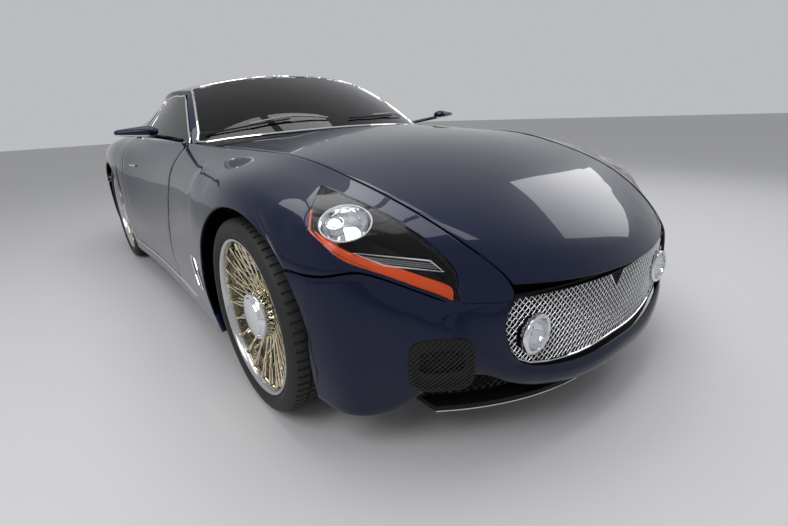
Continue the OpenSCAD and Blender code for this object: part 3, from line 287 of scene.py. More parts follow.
def lamp_finish(name, colour):
    """Moulded lamp plastic with small prisms under a glossy face."""
    finish = Finish(
        name,
        Specular_IOR_Level=0.2,
        Coat_Weight=0.2,
        Coat_Roughness=0.03,
        Emission_Strength=0.10,
    )
    prisms = finish.cells(scale=260)
    finish.colour(prisms, shaded(colour, 0.7), shaded(colour, 1.3))
    finish.set(finish.shader, {"Emission Color": finish.mixed(prisms, shaded(colour, 0.8), colour)})
    finish.rough(0.12 + 0.15 * prisms)
    finish.bumped(prisms, strength=0.4, distance=0.0008)
    return finish.material


def leather_finish(colour):
    """Full-grain hide: pebbled cells, creases and a satin sheen."""
    finish = Finish("leather", Sheen_Weight=0.15)
    pebbles = finish.cells(scale=420)
    finish.colour(finish.noise(scale=9), shaded(colour, 0.7), shaded(colour, 1.2))
    finish.rough(0.42 + 0.2 * pebbles)
    finish.bumped(pebbles + 0.4 * finish.noise(scale=80), strength=0.45, distance=0.0006)
    return finish.material


def tyre_finish():
    """Dusty black rubber."""
    finish = Finish("tyre_rubber")
    dust = finish.noise(scale=22)
    finish.colour(dust, (0.006, 0.006, 0.0065), (0.019, 0.018, 0.017))
    finish.rough(0.55 + 0.25 * dust)
    finish.bumped(finish.noise(scale=700), strength=0.3, distance=0.0004)
    return finish.material


STUFF = {}


def make_finishes():
    colours = bpy.context.scene.coupe_colours
    STUFF.update(
        paint=paint_finish(tuple(colours.paint)),
        chrome=metal_finish("chrome", (0.86, 0.87, 0.89), rough=0.04, grain=0.05),
        spokes=metal_finish("warm_plating", tuple(colours.spokes), rough=0.12, grain=0.08),
        steel=metal_finish("dull_steel", (0.30, 0.31, 0.32), rough=0.35, grain=0.2),
        disc=metal_finish("turned_iron", (0.42, 0.42, 0.43), rough=0.28, grain=0.15),
        cast=metal_finish("cast_alloy", (0.45, 0.46, 0.47), rough=0.45, grain=0.2),
        glass=glass_finish("tinted_glass", (0.035, 0.040, 0.047), index=1.34),
        lens=glass_finish("clear_lens", (0.96, 0.98, 0.99), index=1.2),
        alloy=metal_finish("polished_alloy", (0.60, 0.60, 0.61), rough=0.14, grain=0.08),
        amber=lamp_finish("amber_plastic", tuple(colours.amber)),
        red=lamp_finish("red_plastic", (0.36, 0.006, 0.008)),
        black=plain_finish(
            "black_plastic", (0.008, 0.008, 0.0085), rough=0.5, scale=600, height=0.0003, gloss=0.22
        ),
        white=plain_finish("satin_white", (0.80, 0.80, 0.82), rough=0.25, scale=300, height=0.0001),
        gloss_black=plain_finish("gloss_black", (0.02, 0.02, 0.021), rough=0.12, scale=300, height=0.0001),
        carpet=plain_finish("carpet", (0.022, 0.020, 0.020), rough=0.8, scale=900, height=0.002),
        lining=plain_finish("headlining", (0.09, 0.085, 0.08), rough=0.8, scale=1200, height=0.0008),
        leather=leather_finish(tuple(colours.leather)),
        rubber=tyre_finish(),
    )


def fresh():
    if bpy.context.mode != "OBJECT":
        bpy.ops.object.mode_set(mode="OBJECT")
    bpy.ops.object.select_all(action="DESELECT")


def pick(piece):
    fresh()
    piece.select_set(True)
    bpy.context.view_layer.objects.active = piece


def edit(piece):
    pick(piece)
    bpy.ops.object.mode_set(mode="EDIT")
    bpy.ops.mesh.select_all(action="SELECT")


def applied(piece, kind, **settings):
    """Adds one modifier to a piece and applies it."""
    pick(piece)
    bpy.ops.object.modifier_add(type=kind)
    modifier = piece.modifiers[-1]
    for key, value in settings.items():
        setattr(modifier, key, value)
    bpy.ops.object.modifier_apply(modifier=modifier.name)


def subdivided(piece, levels):
    applied(piece, "SUBSURF", levels=levels, render_levels=levels)


def rounded(piece, width, segments=2):
    limit = math.radians(BEVEL_SHARP)
    applied(piece, "BEVEL", width=width, segments=segments, limit_method="ANGLE", angle_limit=limit)


def settled(piece, name, finish, body, replaced=(), angle=SHARP):
    """Names a piece, gives it its finish and body, and shades it smooth up to an angle."""
    pick(piece)
    bpy.ops.object.transform_apply(location=True, rotation=True, scale=True)
    bpy.ops.object.shade_smooth_by_angle(angle=math.radians(angle))
    piece.name = name
    piece.data.name = name
    piece.data.materials.clear()
    piece.data.materials.append(STUFF[finish])
    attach(piece, body)
    if replaced:
        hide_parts(*replaced)
    return piece


def body_of(node):
    return NODES[node]["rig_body"]


def node_copy(node):
    """A copy of a solid's mesh, merged into quads, that can be shaped further."""
    fresh()
    piece = NODES[node].copy()
    piece.data = NODES[node].data.copy()
    piece.parent = None
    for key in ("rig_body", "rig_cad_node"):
        del piece[key]
    bpy.context.scene.collection.objects.link(piece)
    edit(piece)
    bpy.ops.mesh.customdata_custom_splitnormals_clear()
    bpy.ops.mesh.remove_doubles(threshold=MERGE)
    bpy.ops.mesh.tris_convert_to_quads(
        face_threshold=math.radians(QUAD_FACE), shape_threshold=math.radians(QUAD_SHAPE)
    )
    fresh()
    return piece


def creased(piece, angle):
    """Creases the sharp edges, so that they stay where they are when the piece is subdivided."""
    edit(piece)
    bpy.ops.mesh.select_all(action="DESELECT")
    bpy.ops.mesh.select_mode(type="EDGE")
    bpy.ops.mesh.edges_select_sharp(sharpness=math.radians(angle))
    bpy.ops.transform.edge_crease(value=1)
    fresh()


def panel(node, finish, levels=2, edge=PANEL_EDGE, angle=SHARP):
    """A smooth panel in place of a faceted solid, with its borders kept and lightly rounded."""
    piece = node_copy(node)
    creased(piece, angle)
    subdivided(piece, levels)
    if edge:
        rounded(piece, edge)
    return settled(piece, node + "_skin", finish, body_of(node), [node])


def faced(piece, finish, chosen):
    """Gives the faces whose centre and normal pass a test another finish."""
    piece.data.materials.append(STUFF[finish])
    index = len(piece.data.materials) - 1
    for face in piece.data.polygons:
        if chosen(face.center, face.normal):
            face.material_index = index


def spun(profile, steps):
    """A closed profile of (radius, out) points turned about Y."""
    fresh()
    bpy.ops.mesh.primitive_circle_add(vertices=len(profile), radius=1)
    piece = bpy.context.object
    for vertex, (radius, out) in zip(piece.data.vertices, profile):
        vertex.co = (radius, out, 0)
    edit(piece)
    bpy.ops.mesh.spin(steps=steps, angle=math.tau, center=(0, 0, 0), axis=(0, 1, 0))
    bpy.ops.mesh.select_all(action="SELECT")
    bpy.ops.mesh.remove_doubles(threshold=MERGE)
    bpy.ops.mesh.delete_loose()
    bpy.ops.mesh.select_all(action="SELECT")
    bpy.ops.mesh.normals_make_consistent(inside=False)
    fresh()
    return piece


def aimed(piece, centre, axis):
    """Turns a piece from its own Y to an axis and moves it to a place."""
    turn = Vector((0, 1, 0)).rotation_difference(Vector(axis)).to_matrix().to_4x4()
    piece.matrix_world = Matrix.Translation(centre) @ turn
    pick(piece)
    bpy.ops.object.transform_apply(location=True, rotation=True, scale=True)
    return piece


def joined(pieces):
    pick(pieces[0])
    for piece in pieces:
        piece.select_set(True)
    bpy.ops.object.join()
    return pieces[0]


def tubes(lines, radius, closed=False, resolution=2):
    """Round bars along lines of points, as one mesh."""
    fresh()
    bpy.ops.curve.primitive_nurbs_path_add()
    piece = bpy.context.object
    curve = piece.data
    curve.splines.clear()
    for line in lines:
        spline = curve.splines.new("POLY")
        spline.points.add(len(line) - 1)
        for point, place in zip(spline.points, line):
            point.co = (*place, 1)
        spline.use_cyclic_u = closed
    curve.dimensions = "3D"
    curve.bevel_depth = radius
    curve.bevel_resolution = resolution
    curve.use_fill_caps = not closed
    pick(piece)
    bpy.ops.object.convert(target="MESH")
    return bpy.context.object


def curved(points, steps=8, closed=False):
    """A smooth line through points."""
    count = len(points)
    spans = count if closed else count - 1
    line = []
    for i in range(spans):
        near = (i - 1, i, i + 1, i + 2)
        at = [k % count if closed else min(max(k, 0), count - 1) for k in near]
        before, start, end, after = (Vector(points[k]) for k in at)
        for step in range(steps):
            t = step / steps
            line.append(
                0.5
                * (
                    2 * start
                    + (end - before) * t
                    + (2 * before - 5 * start + 4 * end - after) * t**2
                    + (3 * start - before - 3 * end + after) * t**3
                )
            )
    if not closed:
        line.append(Vector(points[-1]))
    return line


def outer_patch(mesh, outward):
    """The faces of a sheet's outer side: the largest smooth patch that faces outward."""
    seen, best, best_area = set(), [], 0
    limit = math.radians(PATCH_BEND)
    outward = Vector(outward).normalized()
    for start in mesh.faces:
        if start in seen:
            continue
        patch, queue = [], [start]
        seen.add(start)
        while queue:
            face = queue.pop()
            patch.append(face)
            for edge in face.edges:
                if len(edge.link_faces) == 2 and edge.calc_face_angle(0) < limit:
                    for other in edge.link_faces:
                        if other not in seen:
                            seen.add(other)
                            queue.append(other)
        area = sum(face.calc_area() * face.normal.dot(outward) for face in patch)
        if area > best_area:
            best, best_area = patch, area
    return best


def length_of(line):
    return sum((b - a).length for a, b in zip(line, line[1:] + line[:1]))


def at_share(line, share):
    """The point at a share of a line's length."""
    left = share * sum((b - a).length for a, b in zip(line, line[1:]))
    for a, b in zip(line, line[1:]):
        span = (b - a).length
        if left <= span and span > 0:
            return a.lerp(b, left / span)
        left -= span
    return line[-1].copy()


def within(outline, x, y):
    """Whether a point of the plane lies inside a closed outline of pairs."""
    inside = False
    for (ax, ay), (bx, by) in zip(outline, outline[1:] + outline[:1]):
        if (ay > y) != (by > y) and x < ax + (y - ay) / (by - ay) * (bx - ax):
            inside = not inside
    return inside


# How far the lines of a wire mesh are tried beyond half its width, in metres
DIAMOND_SPARE = 0.4


def diamonds(outline, pitch, place):
    """Two crossing families of lines over an outline of pairs; place gives a point, or None off the mesh."""
    centre = sum(z for y, z in outline) / len(outline)
    reach = int((max(y for y, z in outline) + DIAMOND_SPARE) / pitch)
    lines = []
    for family in (1, -1):
        for row in range(-reach, reach + 1):
            line = []
            for step in range(-4 * reach, 4 * reach + 1):
                along = step * pitch / 2
                y = (along - family * row * pitch) * math.sqrt(0.5)
                z = centre + (family * along + row * pitch) * math.sqrt(0.5)
                point = place(y, z, family, step, row) if within(outline, y, z) else None
                if point is not None:
                    line.append(point)
                if point is None and line:
                    lines.append(line)
                    line = []
            if line:
                lines.append(line)
    return [line for line in lines if len(line) > 1]


def border(node, outward):
    """The rim of a node's outer side as a closed line of points."""
    piece = node_copy(node)
    mesh = bmesh.new()
    mesh.from_mesh(piece.data)
    patch = outer_patch(mesh, outward)
    inside = set(patch)
    after = {}
    for face in patch:
        for loop in face.loops:
            if sum(other in inside for other in loop.edge.link_faces) == 1:
                after[loop.vert] = loop.link_loop_next.vert
    lines = []
    while after:
        line, vertex = [], next(iter(after))
        while vertex in after:
            line.append(vertex.co.copy())
            vertex = after.pop(vertex)
        lines.append(line)
    mesh.free()
    bpy.data.objects.remove(piece)
    return max(lines, key=length_of)


def surface(node):
    """A search tree of a node's faces."""
    mesh = NODES[node].data
    points = [v.co for v in mesh.vertices]
    return BVHTree.FromPolygons(points, [tuple(p.vertices) for p in mesh.polygons])


def side_points(node, side):
    return [v.co for v in NODES[node].data.vertices if v.co.y * side > 0]


def span(points):
    """The lowest and highest corners of points."""
    return Vector(map(min, zip(*points))), Vector(map(max, zip(*points)))


def grid(rows):
    """An open sheet through rows of points."""
    fresh()
    bpy.ops.mesh.primitive_grid_add(x_subdivisions=len(rows[0]) - 1, y_subdivisions=len(rows) - 1)
    piece = bpy.context.object
    for vertex, place in zip(piece.data.vertices, [point for row in rows for point in row]):
        vertex.co = place
    return piece


def in_mm(points, radius=MM):
    """Profile points of (share of a radius, mm) in metres, or of (mm, mm) where no radius is given."""
    return [(radius * across, out * MM) for across, out in points]


def turned(profile, steps, centre, axis, *settings):
    """A turned piece at its place, settled on the chassis with its name, finish and replaced nodes; the slot
    among its settings is not used.
    """
    name, finish, slot, *replaced = settings
    return settled(aimed(spun(profile, steps), centre, axis), name, finish, "chassis", replaced)


# Parts of a normal that mark the undersides of panels and roof, the doors' inner sides, and the
# mirrors' glass and lower sides
PANEL_UNDER = -0.55
ROOF_UNDER = -0.7
DOOR_INSIDE = -0.5
MIRROR_GLASS = -0.9
MIRROR_UNDER = -0.75
# Edges of a mirror that stay sharp, in degrees
MIRROR_SHARP = 60


class COUPE_OT_panels(bpy.types.Operator):
    """Smooth painted panels in place of the faceted solids"""

    bl_idname = "coupe.panels"
    bl_label = "Painted panels"

    def execute(self, context):
        for node in ("front_bumper", "front_fenders", "hood", "quarter_panels", "rear_bumper", "boot_lid"):
            skin = panel(node, "paint")
            # Faces of these panels that face down get the black finish: painted shade under them.
            faced(skin, "black", lambda centre, normal: normal.z < PANEL_UNDER)
        for node in ("sills", "tail_panel", "c_pillars"):
            panel(node, "paint")
        roof = panel("roof", "paint")
        faced(roof, "lining", lambda centre, normal: normal.z < ROOF_UNDER)
        for side, sign in SIDES.items():
            door = panel(f"door_{side}", "paint")
            faced(door, "leather", lambda centre, normal: normal.y * sign < DOOR_INSIDE)
        panel("cowl", "black")
        panel("a_pillars", "paint")
        return {"FINISHED"}


class COUPE_OT_glazing(bpy.types.Operator):
    """Tinted glass and the bright strips round it"""

    bl_idname = "coupe.glazing"
    bl_label = "Glass and bright strips"

    def execute(self, context):
        radius = context.scene.coupe_sizes.trim_r
        rims = [("windscreen", (1, 0, 1)), ("rear_window", (-1, 0, 1))]
        rims += [("quarter_glass", (0, sign, 0.3)) for sign in SIDES.values()]
        rims += [(f"door_glass_{side}", (0, sign, 0.3)) for side, sign in SIDES.items()]
        lines = {}
        for node, outward in rims:
            lines.setdefault(node, []).append(border(node, outward))
        for node, found in lines.items():
            panel(node, "glass", edge=0)
            strip = tubes([curved(line, 3, closed=True) for line in found], radius, closed=True)
            settled(strip, node + "_strip", "chrome", body_of(node))
        return {"FINISHED"}


class COUPE_OT_mirrors(bpy.types.Operator):
    """Door mirrors with their glass and bright lower side"""

    bl_idname = "coupe.mirrors"
    bl_label = "Door mirrors"

    def execute(self, context):
        for side in SIDES:
            skin = panel(f"mirror_{side}", "paint", edge=0, angle=MIRROR_SHARP)
            faced(
                skin, "chrome", lambda centre, normal: normal.x < MIRROR_GLASS or normal.z < MIRROR_UNDER
            )
        return {"FINISHED"}


# Mouth: the notch in its top edge with its wire, the dark sheet behind the wires, which is painted shade of
# the open mouth, and how far the flap below that sheet is sunk and hangs down
NOTCH_W = 0.100
NOTCH_H = 0.062
NOTCH_SUNK = 1 * MM
NOTCH_WIRE_R = 2.2 * MM
BACKING = 0.022
BACKING_T = 2 * MM
BACKING_INSET = 1 * MM
BACKING_STEPS = 60
FLAP = (0.004, 0.055)
# Wires: how far they are sunk, the share of a wire that the weave takes, and their lap under a lamp's
# ring
WIRE_SUNK = 2 * MM
WEAVE = 0.3
RING_LAP = 9 * MM
# Rounded edge of the dark surround, and the bright bead on the lower lip
SURROUND_EDGE = 1 * MM
BEAD_R = 3.6 * MM
BEAD_OUT = 2 * MM


class COUPE_OT_grille(bpy.types.Operator):
    """Woven wire in the mouth, its dark surround and the bright bead on the lower lip"""

    bl_idname = "coupe.grille"
    bl_label = "Grille"

    def execute(self, context):
        sizes = context.scene.coupe_sizes
        rim = border("grille_mesh", (1, 0, 0))
        front = max(p.x for p in rim)
        edge = max(rim, key=lambda p: p.y)
        bend = (edge.y**2 + (front - edge.x) ** 2) / (2 * (front - edge.x))
        crown = max(p.z for p in rim if abs(p.y) < NOTCH_W)
        lamps = []
        for sign in SIDES.values():
            low, high = span(side_points("driving_lamps", sign))
            lamps.append((low + high) / 2)
        low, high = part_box("driving_lamps")
        ring = (high.z - low.z) / 2 - RING_LAP

        def on_mesh(y, z, sunk):
            return (front - bend + math.sqrt(bend**2 - y**2) - sunk, y, z)

        def place(y, z, family, step, row):
            if any(math.hypot(y - lamp.y, z - lamp.z) < ring for lamp in lamps):
                return None
            if abs(y) < NOTCH_W / 2 * (1 - (crown - z) / NOTCH_H):
                return None
            weave = family * math.cos(math.pi * (step / 2 + row)) * sizes.wire_d * WEAVE
            return on_mesh(y, z, WIRE_SUNK - weave)

        outline = [(p.y, p.z) for p in rim]
        wires = tubes(diamonds(outline, sizes.wire_pitch, place), sizes.wire_d / 2, resolution=1)
        settled(wires, "grille_wires", "chrome", "chassis", ["grille_mesh"], WIRE_SHARP)
        corners = ((-NOTCH_W / 2, crown), (0, crown - NOTCH_H), (NOTCH_W / 2, crown))
        notch = [on_mesh(y, z, NOTCH_SUNK) for y, z in corners]
        settled(tubes([notch], NOTCH_WIRE_R), "grille_notch_rim", "chrome", "chassis")
        self.painted_shade_sheet(outline, on_mesh)
        surround = node_copy("grille_frame")
        rounded(surround, SURROUND_EDGE)
        settled(surround, "grille_surround", "black", "chassis", ["grille_frame"])
        ends = sorted(range(len(rim)), key=lambda i: rim[i].y)
        first, last = sorted((ends[0], ends[-1]))
        chains = [rim[first : last + 1], rim[last:] + rim[: first + 1]]
        lower = min(chains, key=lambda chain: sum(p.z for p in chain) / len(chain))
        bead = [Vector(on_mesh(p.y, p.z, -BEAD_OUT)) for p in lower]
        settled(tubes([curved(bead, 3)], BEAD_R), "grille_bead", "chrome", "chassis")
        return {"FINISHED"}

    def painted_shade_sheet(self, outline, on_mesh):
        """A dark sheet behind the wires, with a flap below it: painted shade where the mouth is open."""
        wide = max(y for y, z in outline) - 2 * BACKING_INSET
        flap, foot, head = [], [], []
        for step in range(BACKING_STEPS + 1):
            y = wide * (2 * step / BACKING_STEPS - 1)
            cuts = []
            for (ay, az), (by, bz) in zip(outline, outline[1:] + outline[:1]):
                if (ay > y) != (by > y):
                    cuts.append(az + (y - ay) / (by - ay) * (bz - az))
            low, high = min(cuts) + BACKING_INSET, max(cuts) - BACKING_INSET
            flap.append(on_mesh(y, low - FLAP[1], FLAP[0]))
            foot.append(on_mesh(y, low, BACKING))
            head.append(on_mesh(y, high, BACKING))
        sheet = grid([flap, foot, head])
        applied(sheet, "SOLIDIFY", thickness=BACKING_T)
        # The black sheet behind the grille's wires is painted shade of the open mouth.
        settled(sheet, "grille_painted_shade", "black", "chassis")


# Steps round a lamp and round the small pieces in it
LAMP_STEPS = 64
EYE_STEPS = 48
SHIELD_STEPS = 32
# Driving lamp: (share of the radius, mm before its face) round the ring and bowl, the ring's share at
# its back, (mm, mm) round the bulb shield, and the lens's share of the radius, mm before the face, fall
# and thickness
DRIVING_RING = [
    (0.71, -20),
    (0.98, -18),
    (1, -10),
    (0.98, -4),
    (0.92, -1),
    (0.82, 0),
    (0.77, -3),
    (0.75, -12),
    (0.62, -34),
    (0.30, -48),
    (0, -52),
]
DRIVING_BACK = 0.70
DRIVING_SHIELD = [(0, -50), (9, -50), (11, -24), (8, -17), (0, -15)]
DRIVING_LENS = (0.76, -4 * MM, 5 * MM, 3 * MM)
DRIVING_LENS_STEPS = 7


class COUPE_OT_driving_lamps(bpy.types.Operator):
    """Round lamps in the grille: bright ring, bowl, bulb shield and lens"""

    bl_idname = "coupe.driving_lamps"
    bl_label = "Driving lamps"

    def execute(self, context):
        ahead = (1, 0, 0)
        share, sunk, fall, thick = DRIVING_LENS
        for side, sign in SIDES.items():
            low, high = span(side_points("driving_lamps", sign))
            radius = (high.z - low.z) / 2
            at = Vector((high.x, (low.y + high.y) / 2, (low.z + high.z) / 2))
            back = low.x - high.x
            ring = [(radius * DRIVING_BACK, back), *in_mm(DRIVING_RING, radius), (0, back)]
            turned(ring, LAMP_STEPS, at, ahead, f"driving_lamp_{side}", "chrome", "chrome", "driving_lamps")
            shield = in_mm(DRIVING_SHIELD)
            turned(shield, SHIELD_STEPS, at, ahead, f"driving_lamp_shield_{side}", "chrome", "chrome")
            face = []
            for i in range(DRIVING_LENS_STEPS + 1):
                t = i / DRIVING_LENS_STEPS
                face.append((radius * share * t, sunk - fall * t**2))
            glass = face + [(r, out - thick) for r, out in reversed(face)]
            turned(glass, LAMP_STEPS, at, ahead, f"driving_lamp_lens_{side}", "lens", "lens")
        return {"FINISHED"}


# Amber strip: width and thickness, steps along the edge, the share where it ends in a point, its share
# there and how fast it widens from there, the most of the lens that it takes, and (share of the width,
# depth) across it
STRIP_W = 0.036
STRIP_T = 4 * MM
STRIP_STEPS = 40
STRIP_END = 0.82
STRIP_POINT = 0.12
STRIP_WIDEN = 2.6
STRIP_MOST = 0.96
STRIP_SECTION = [(0.06, 0.006), (0.35, 0.0055), (0.7, 0.007), (1.0, 0.012)]
# Right-hand round lamp: its middle just under the lens, its facing, how far it is sunk, and its radius
LAMP_AT = (1.725, -0.7525, 0.736)
LAMP_FACE = (0.376, -0.308, 0.874)
LAMP_SUNK = 16 * MM
LAMP_R = 0.073
# (share of the radius, mm) round its bowl, then the white ring's thickness as a share, height and
# corners
LAMP_BOWL = [
    (0.93, -4),
    (0.93, 0),
    (0.97, 3),
    (1, 2),
    (1, -4),
    (0.92, -24),
    (0.55, -50),
    (0, -54),
    (0, -50),
    (0.52, -46),
    (0.86, -22),
]
LAMP_RING = 0.03
LAMP_RING_UP = 3 * MM
LAMP_RING_CORNERS = 8
# (mm, mm) round the barrel in the bowl, its place in the bowl, and its lens: radius, foot, rise and
# back
BARREL = [(0, -48), (22, -46), (26, -30), (26, -16), (23.5, -16), (22.5, -24), (0, -24)]
BARREL_AT = (-36 * MM, 14 * MM, 11 * MM)
EYE_R = 22.5 * MM
EYE_FOOT = -24 * MM
EYE_RISE = 14 * MM
EYE_BACK = -23 * MM
EYE_RINGS = 8
# Right-hand side light: facing, corners just under the lens, how far it is sunk, its frame, and its
# bars with their places across it, their ends along it and the share of that depth that they lie below
# the frame
SIDE_FACE = (0.757, -0.440, 0.470)
SIDE_LIGHT = [
    (1.7997, -0.7809, 0.6645),
    (1.9208, -0.6194, 0.6315),
    (1.9528, -0.6002, 0.6036),
    (1.8580, -0.7254, 0.6292),
]
SIDE_SUNK = 11 * MM
SIDE_FRAME_R = 2.6 * MM
SIDE_BAR_R = 2 * MM
SIDE_BARS = (0.3, 0.5, 0.7)
SIDE_BAR_ENDS = (0.03, 0.97)
SIDE_BAR_BELOW = 0.4


class COUPE_OT_headlamps(bpy.types.Operator):
    """Headlamps under their lenses: round lamp, side light, amber strip and dark housing"""

    bl_idname = "coupe.headlamps"
    bl_label = "Headlamps"

    def execute(self, context):
        rims = {side: border("headlamp_lenses", (0.5, 0.4 * sign, 0.75)) for side, sign in SIDES.items()}
        panel("headlamp_lenses", "lens", edge=0)
        panel("headlamp_buckets", "black", edge=0)
        for side, sign in SIDES.items():
            flip = Vector((1, -sign, 1))
            self.lamp(side, sign, flip)
            self.strip(side, rims[side])
            self.side_light(side, flip)
        return {"FINISHED"}

    def lamp(self, side, sign, flip):
        """Round lamp: bowl, white ring, and a barrel with its own lens."""
        face = Vector(LAMP_FACE) * flip
        at = Vector(LAMP_AT) * flip - Vector(LAMP_FACE).normalized() * flip * LAMP_SUNK
        bowl = in_mm(LAMP_BOWL, LAMP_R)
        turned(bowl, LAMP_STEPS, at, face, f"headlamp_bowl_{side}", "chrome", "chrome", "headlamp_units")
        ring = []
        for i in range(LAMP_RING_CORNERS):
            turn = i * math.tau / LAMP_RING_CORNERS
            across, up = LAMP_RING * math.cos(turn), LAMP_RING * math.sin(turn)
            ring.append((LAMP_R * (1 + across), LAMP_RING_UP + LAMP_R * up))
        turned(ring, LAMP_STEPS, at, face, f"headlamp_ring_{side}", "white", "chrome")
        at = at + Vector(BARREL_AT) * Vector((1, sign, 1))
        turned(in_mm(BARREL), EYE_STEPS, at, face, f"headlamp_barrel_{side}", "chrome", "chrome")
        eye = []
        for i in range(EYE_RINGS + 1):
            turn = i * math.pi / 2 / EYE_RINGS
            eye.append((EYE_R * math.sin(turn), EYE_FOOT + EYE_RISE * math.cos(turn)))
        eye.append((0, EYE_BACK))
        turned(eye, EYE_STEPS, at, face, f"headlamp_eye_{side}", "lens", "lens")

    def side_light(self, side, flip):
        """White frame with bars behind it."""
        sunk = Vector(SIDE_FACE).normalized() * flip * SIDE_SUNK
        corners = [Vector(p) * flip - sunk for p in SIDE_LIGHT]
        frame_piece = tubes([corners], SIDE_FRAME_R, closed=True)
        settled(frame_piece, f"side_light_rim_{side}", "white", "chassis")
        bars = []
        for share in SIDE_BARS:
            start, end = corners[0].lerp(corners[3], share), corners[1].lerp(corners[2], share)
            bars.append([start.lerp(end, t) - sunk * SIDE_BAR_BELOW for t in SIDE_BAR_ENDS])
        settled(tubes(bars, SIDE_BAR_R), f"side_light_bars_{side}", "steel", "chassis")

    def strip(self, side, rim):
        """Amber strip that follows the lens's lower edge from its tip to its outer corner."""
        tip = max(range(len(rim)), key=lambda i: rim[i].x)
        rim = rim[tip:] + rim[:tip]
        rear = min(range(len(rim)), key=lambda i: rim[i].x)
        chains = [rim[: rear + 1], [rim[0]] + rim[:rear:-1] + [rim[rear]]]
        chains = [[at_share(chain, i / STRIP_STEPS) for i in range(STRIP_STEPS + 1)] for chain in chains]
        chains.sort(key=lambda chain: sum(p.z for p in chain))
        lower, upper = chains
        rows = []
        for i in range(1, int(STRIP_STEPS * STRIP_END) + 1):
            along = lower[i + 1] - lower[i - 1]
            across = upper[i] - lower[i]
            normal = along.cross(across).normalized()
            if normal.z < 0:
                normal = -normal
            inward = normal.cross(along).normalized()
            if inward.dot(across) < 0:
                inward = -inward
            taper = min(1, STRIP_POINT + STRIP_WIDEN * (STRIP_END - i / STRIP_STEPS))
            wide = min(STRIP_W * taper, across.length * STRIP_MOST)
            rows.append([lower[i] + inward * wide * share - normal * sunk for share, sunk in STRIP_SECTION])
        piece = grid(rows)
        edit(piece)
        bpy.ops.mesh.normals_make_consistent(inside=False)
        fresh()
        applied(piece, "SOLIDIFY", thickness=STRIP_T, offset=0)
        subdivided(piece, 1)
        settled(piece, f"indicator_strip_{side}", "amber", "chassis", ["indicator_strips"])


# Splitter: rounded edge, the depth of its back edge, and its bright edge's height and radius
BLADE_EDGE = 3 * MM
BLADE_BACK = 0.05
BLADE_TRIM_UP = 4 * MM
BLADE_TRIM_R = 2.5 * MM
# Black wires in the lower opening: pitch, radius, height over the black sheet behind them, which is painted
# shade of the opening, step between the two families, and how far the bumper has to lie behind that sheet to
# leave it open
LOWER_PITCH = 17 * MM
LOWER_WIRE_R = 1.7 * MM
LOWER_UP = 1.5 * MM
LOWER_STEP = 0.6 * MM
LOWER_CLEAR = 20 * MM
# Right-hand corner intake: middle and facing on the bumper, half sizes inside and outside of its black
# surround, which is painted shade of the opening laid on the bumper, how far the inside sits higher, and how
# square its corners are
INTAKE_AT = (1.978, -0.640, 0.343)
INTAKE_FACE = (0.757, -0.629, -0.10)
INTAKE_IN = (0.062, 0.036)
INTAKE_OUT = (0.092, 0.090)
INTAKE_UP = 0.022
INTAKE_SQUARE = 0.52
INTAKE_RINGS = 4
INTAKE_STEPS = 64
INTAKE_T = 3 * MM
# How it lies on the bumper: steps and spacing of the points tried, the rays' start and reach, the gap
# under it and the most that its inside stands up
INTAKE_TRIES = 10
INTAKE_SPACING = (10 * MM, 9 * MM)
INTAKE_RAY = (0.1, 0.2)
INTAKE_GAP = 1 * MM
INTAKE_LIFT = 4 * MM
# Its wires: pitch, radius, height and step between the two families
INTAKE_PITCH = 11 * MM
INTAKE_WIRE_R = 1.2 * MM
INTAKE_WIRE_UP = 4.5 * MM
INTAKE_WIRE_STEP = 1 * MM


def curve_terms(u, v):
    """Terms of a curved face of the second degree."""
    return (1, u, v, u * u, u * v, v * v)


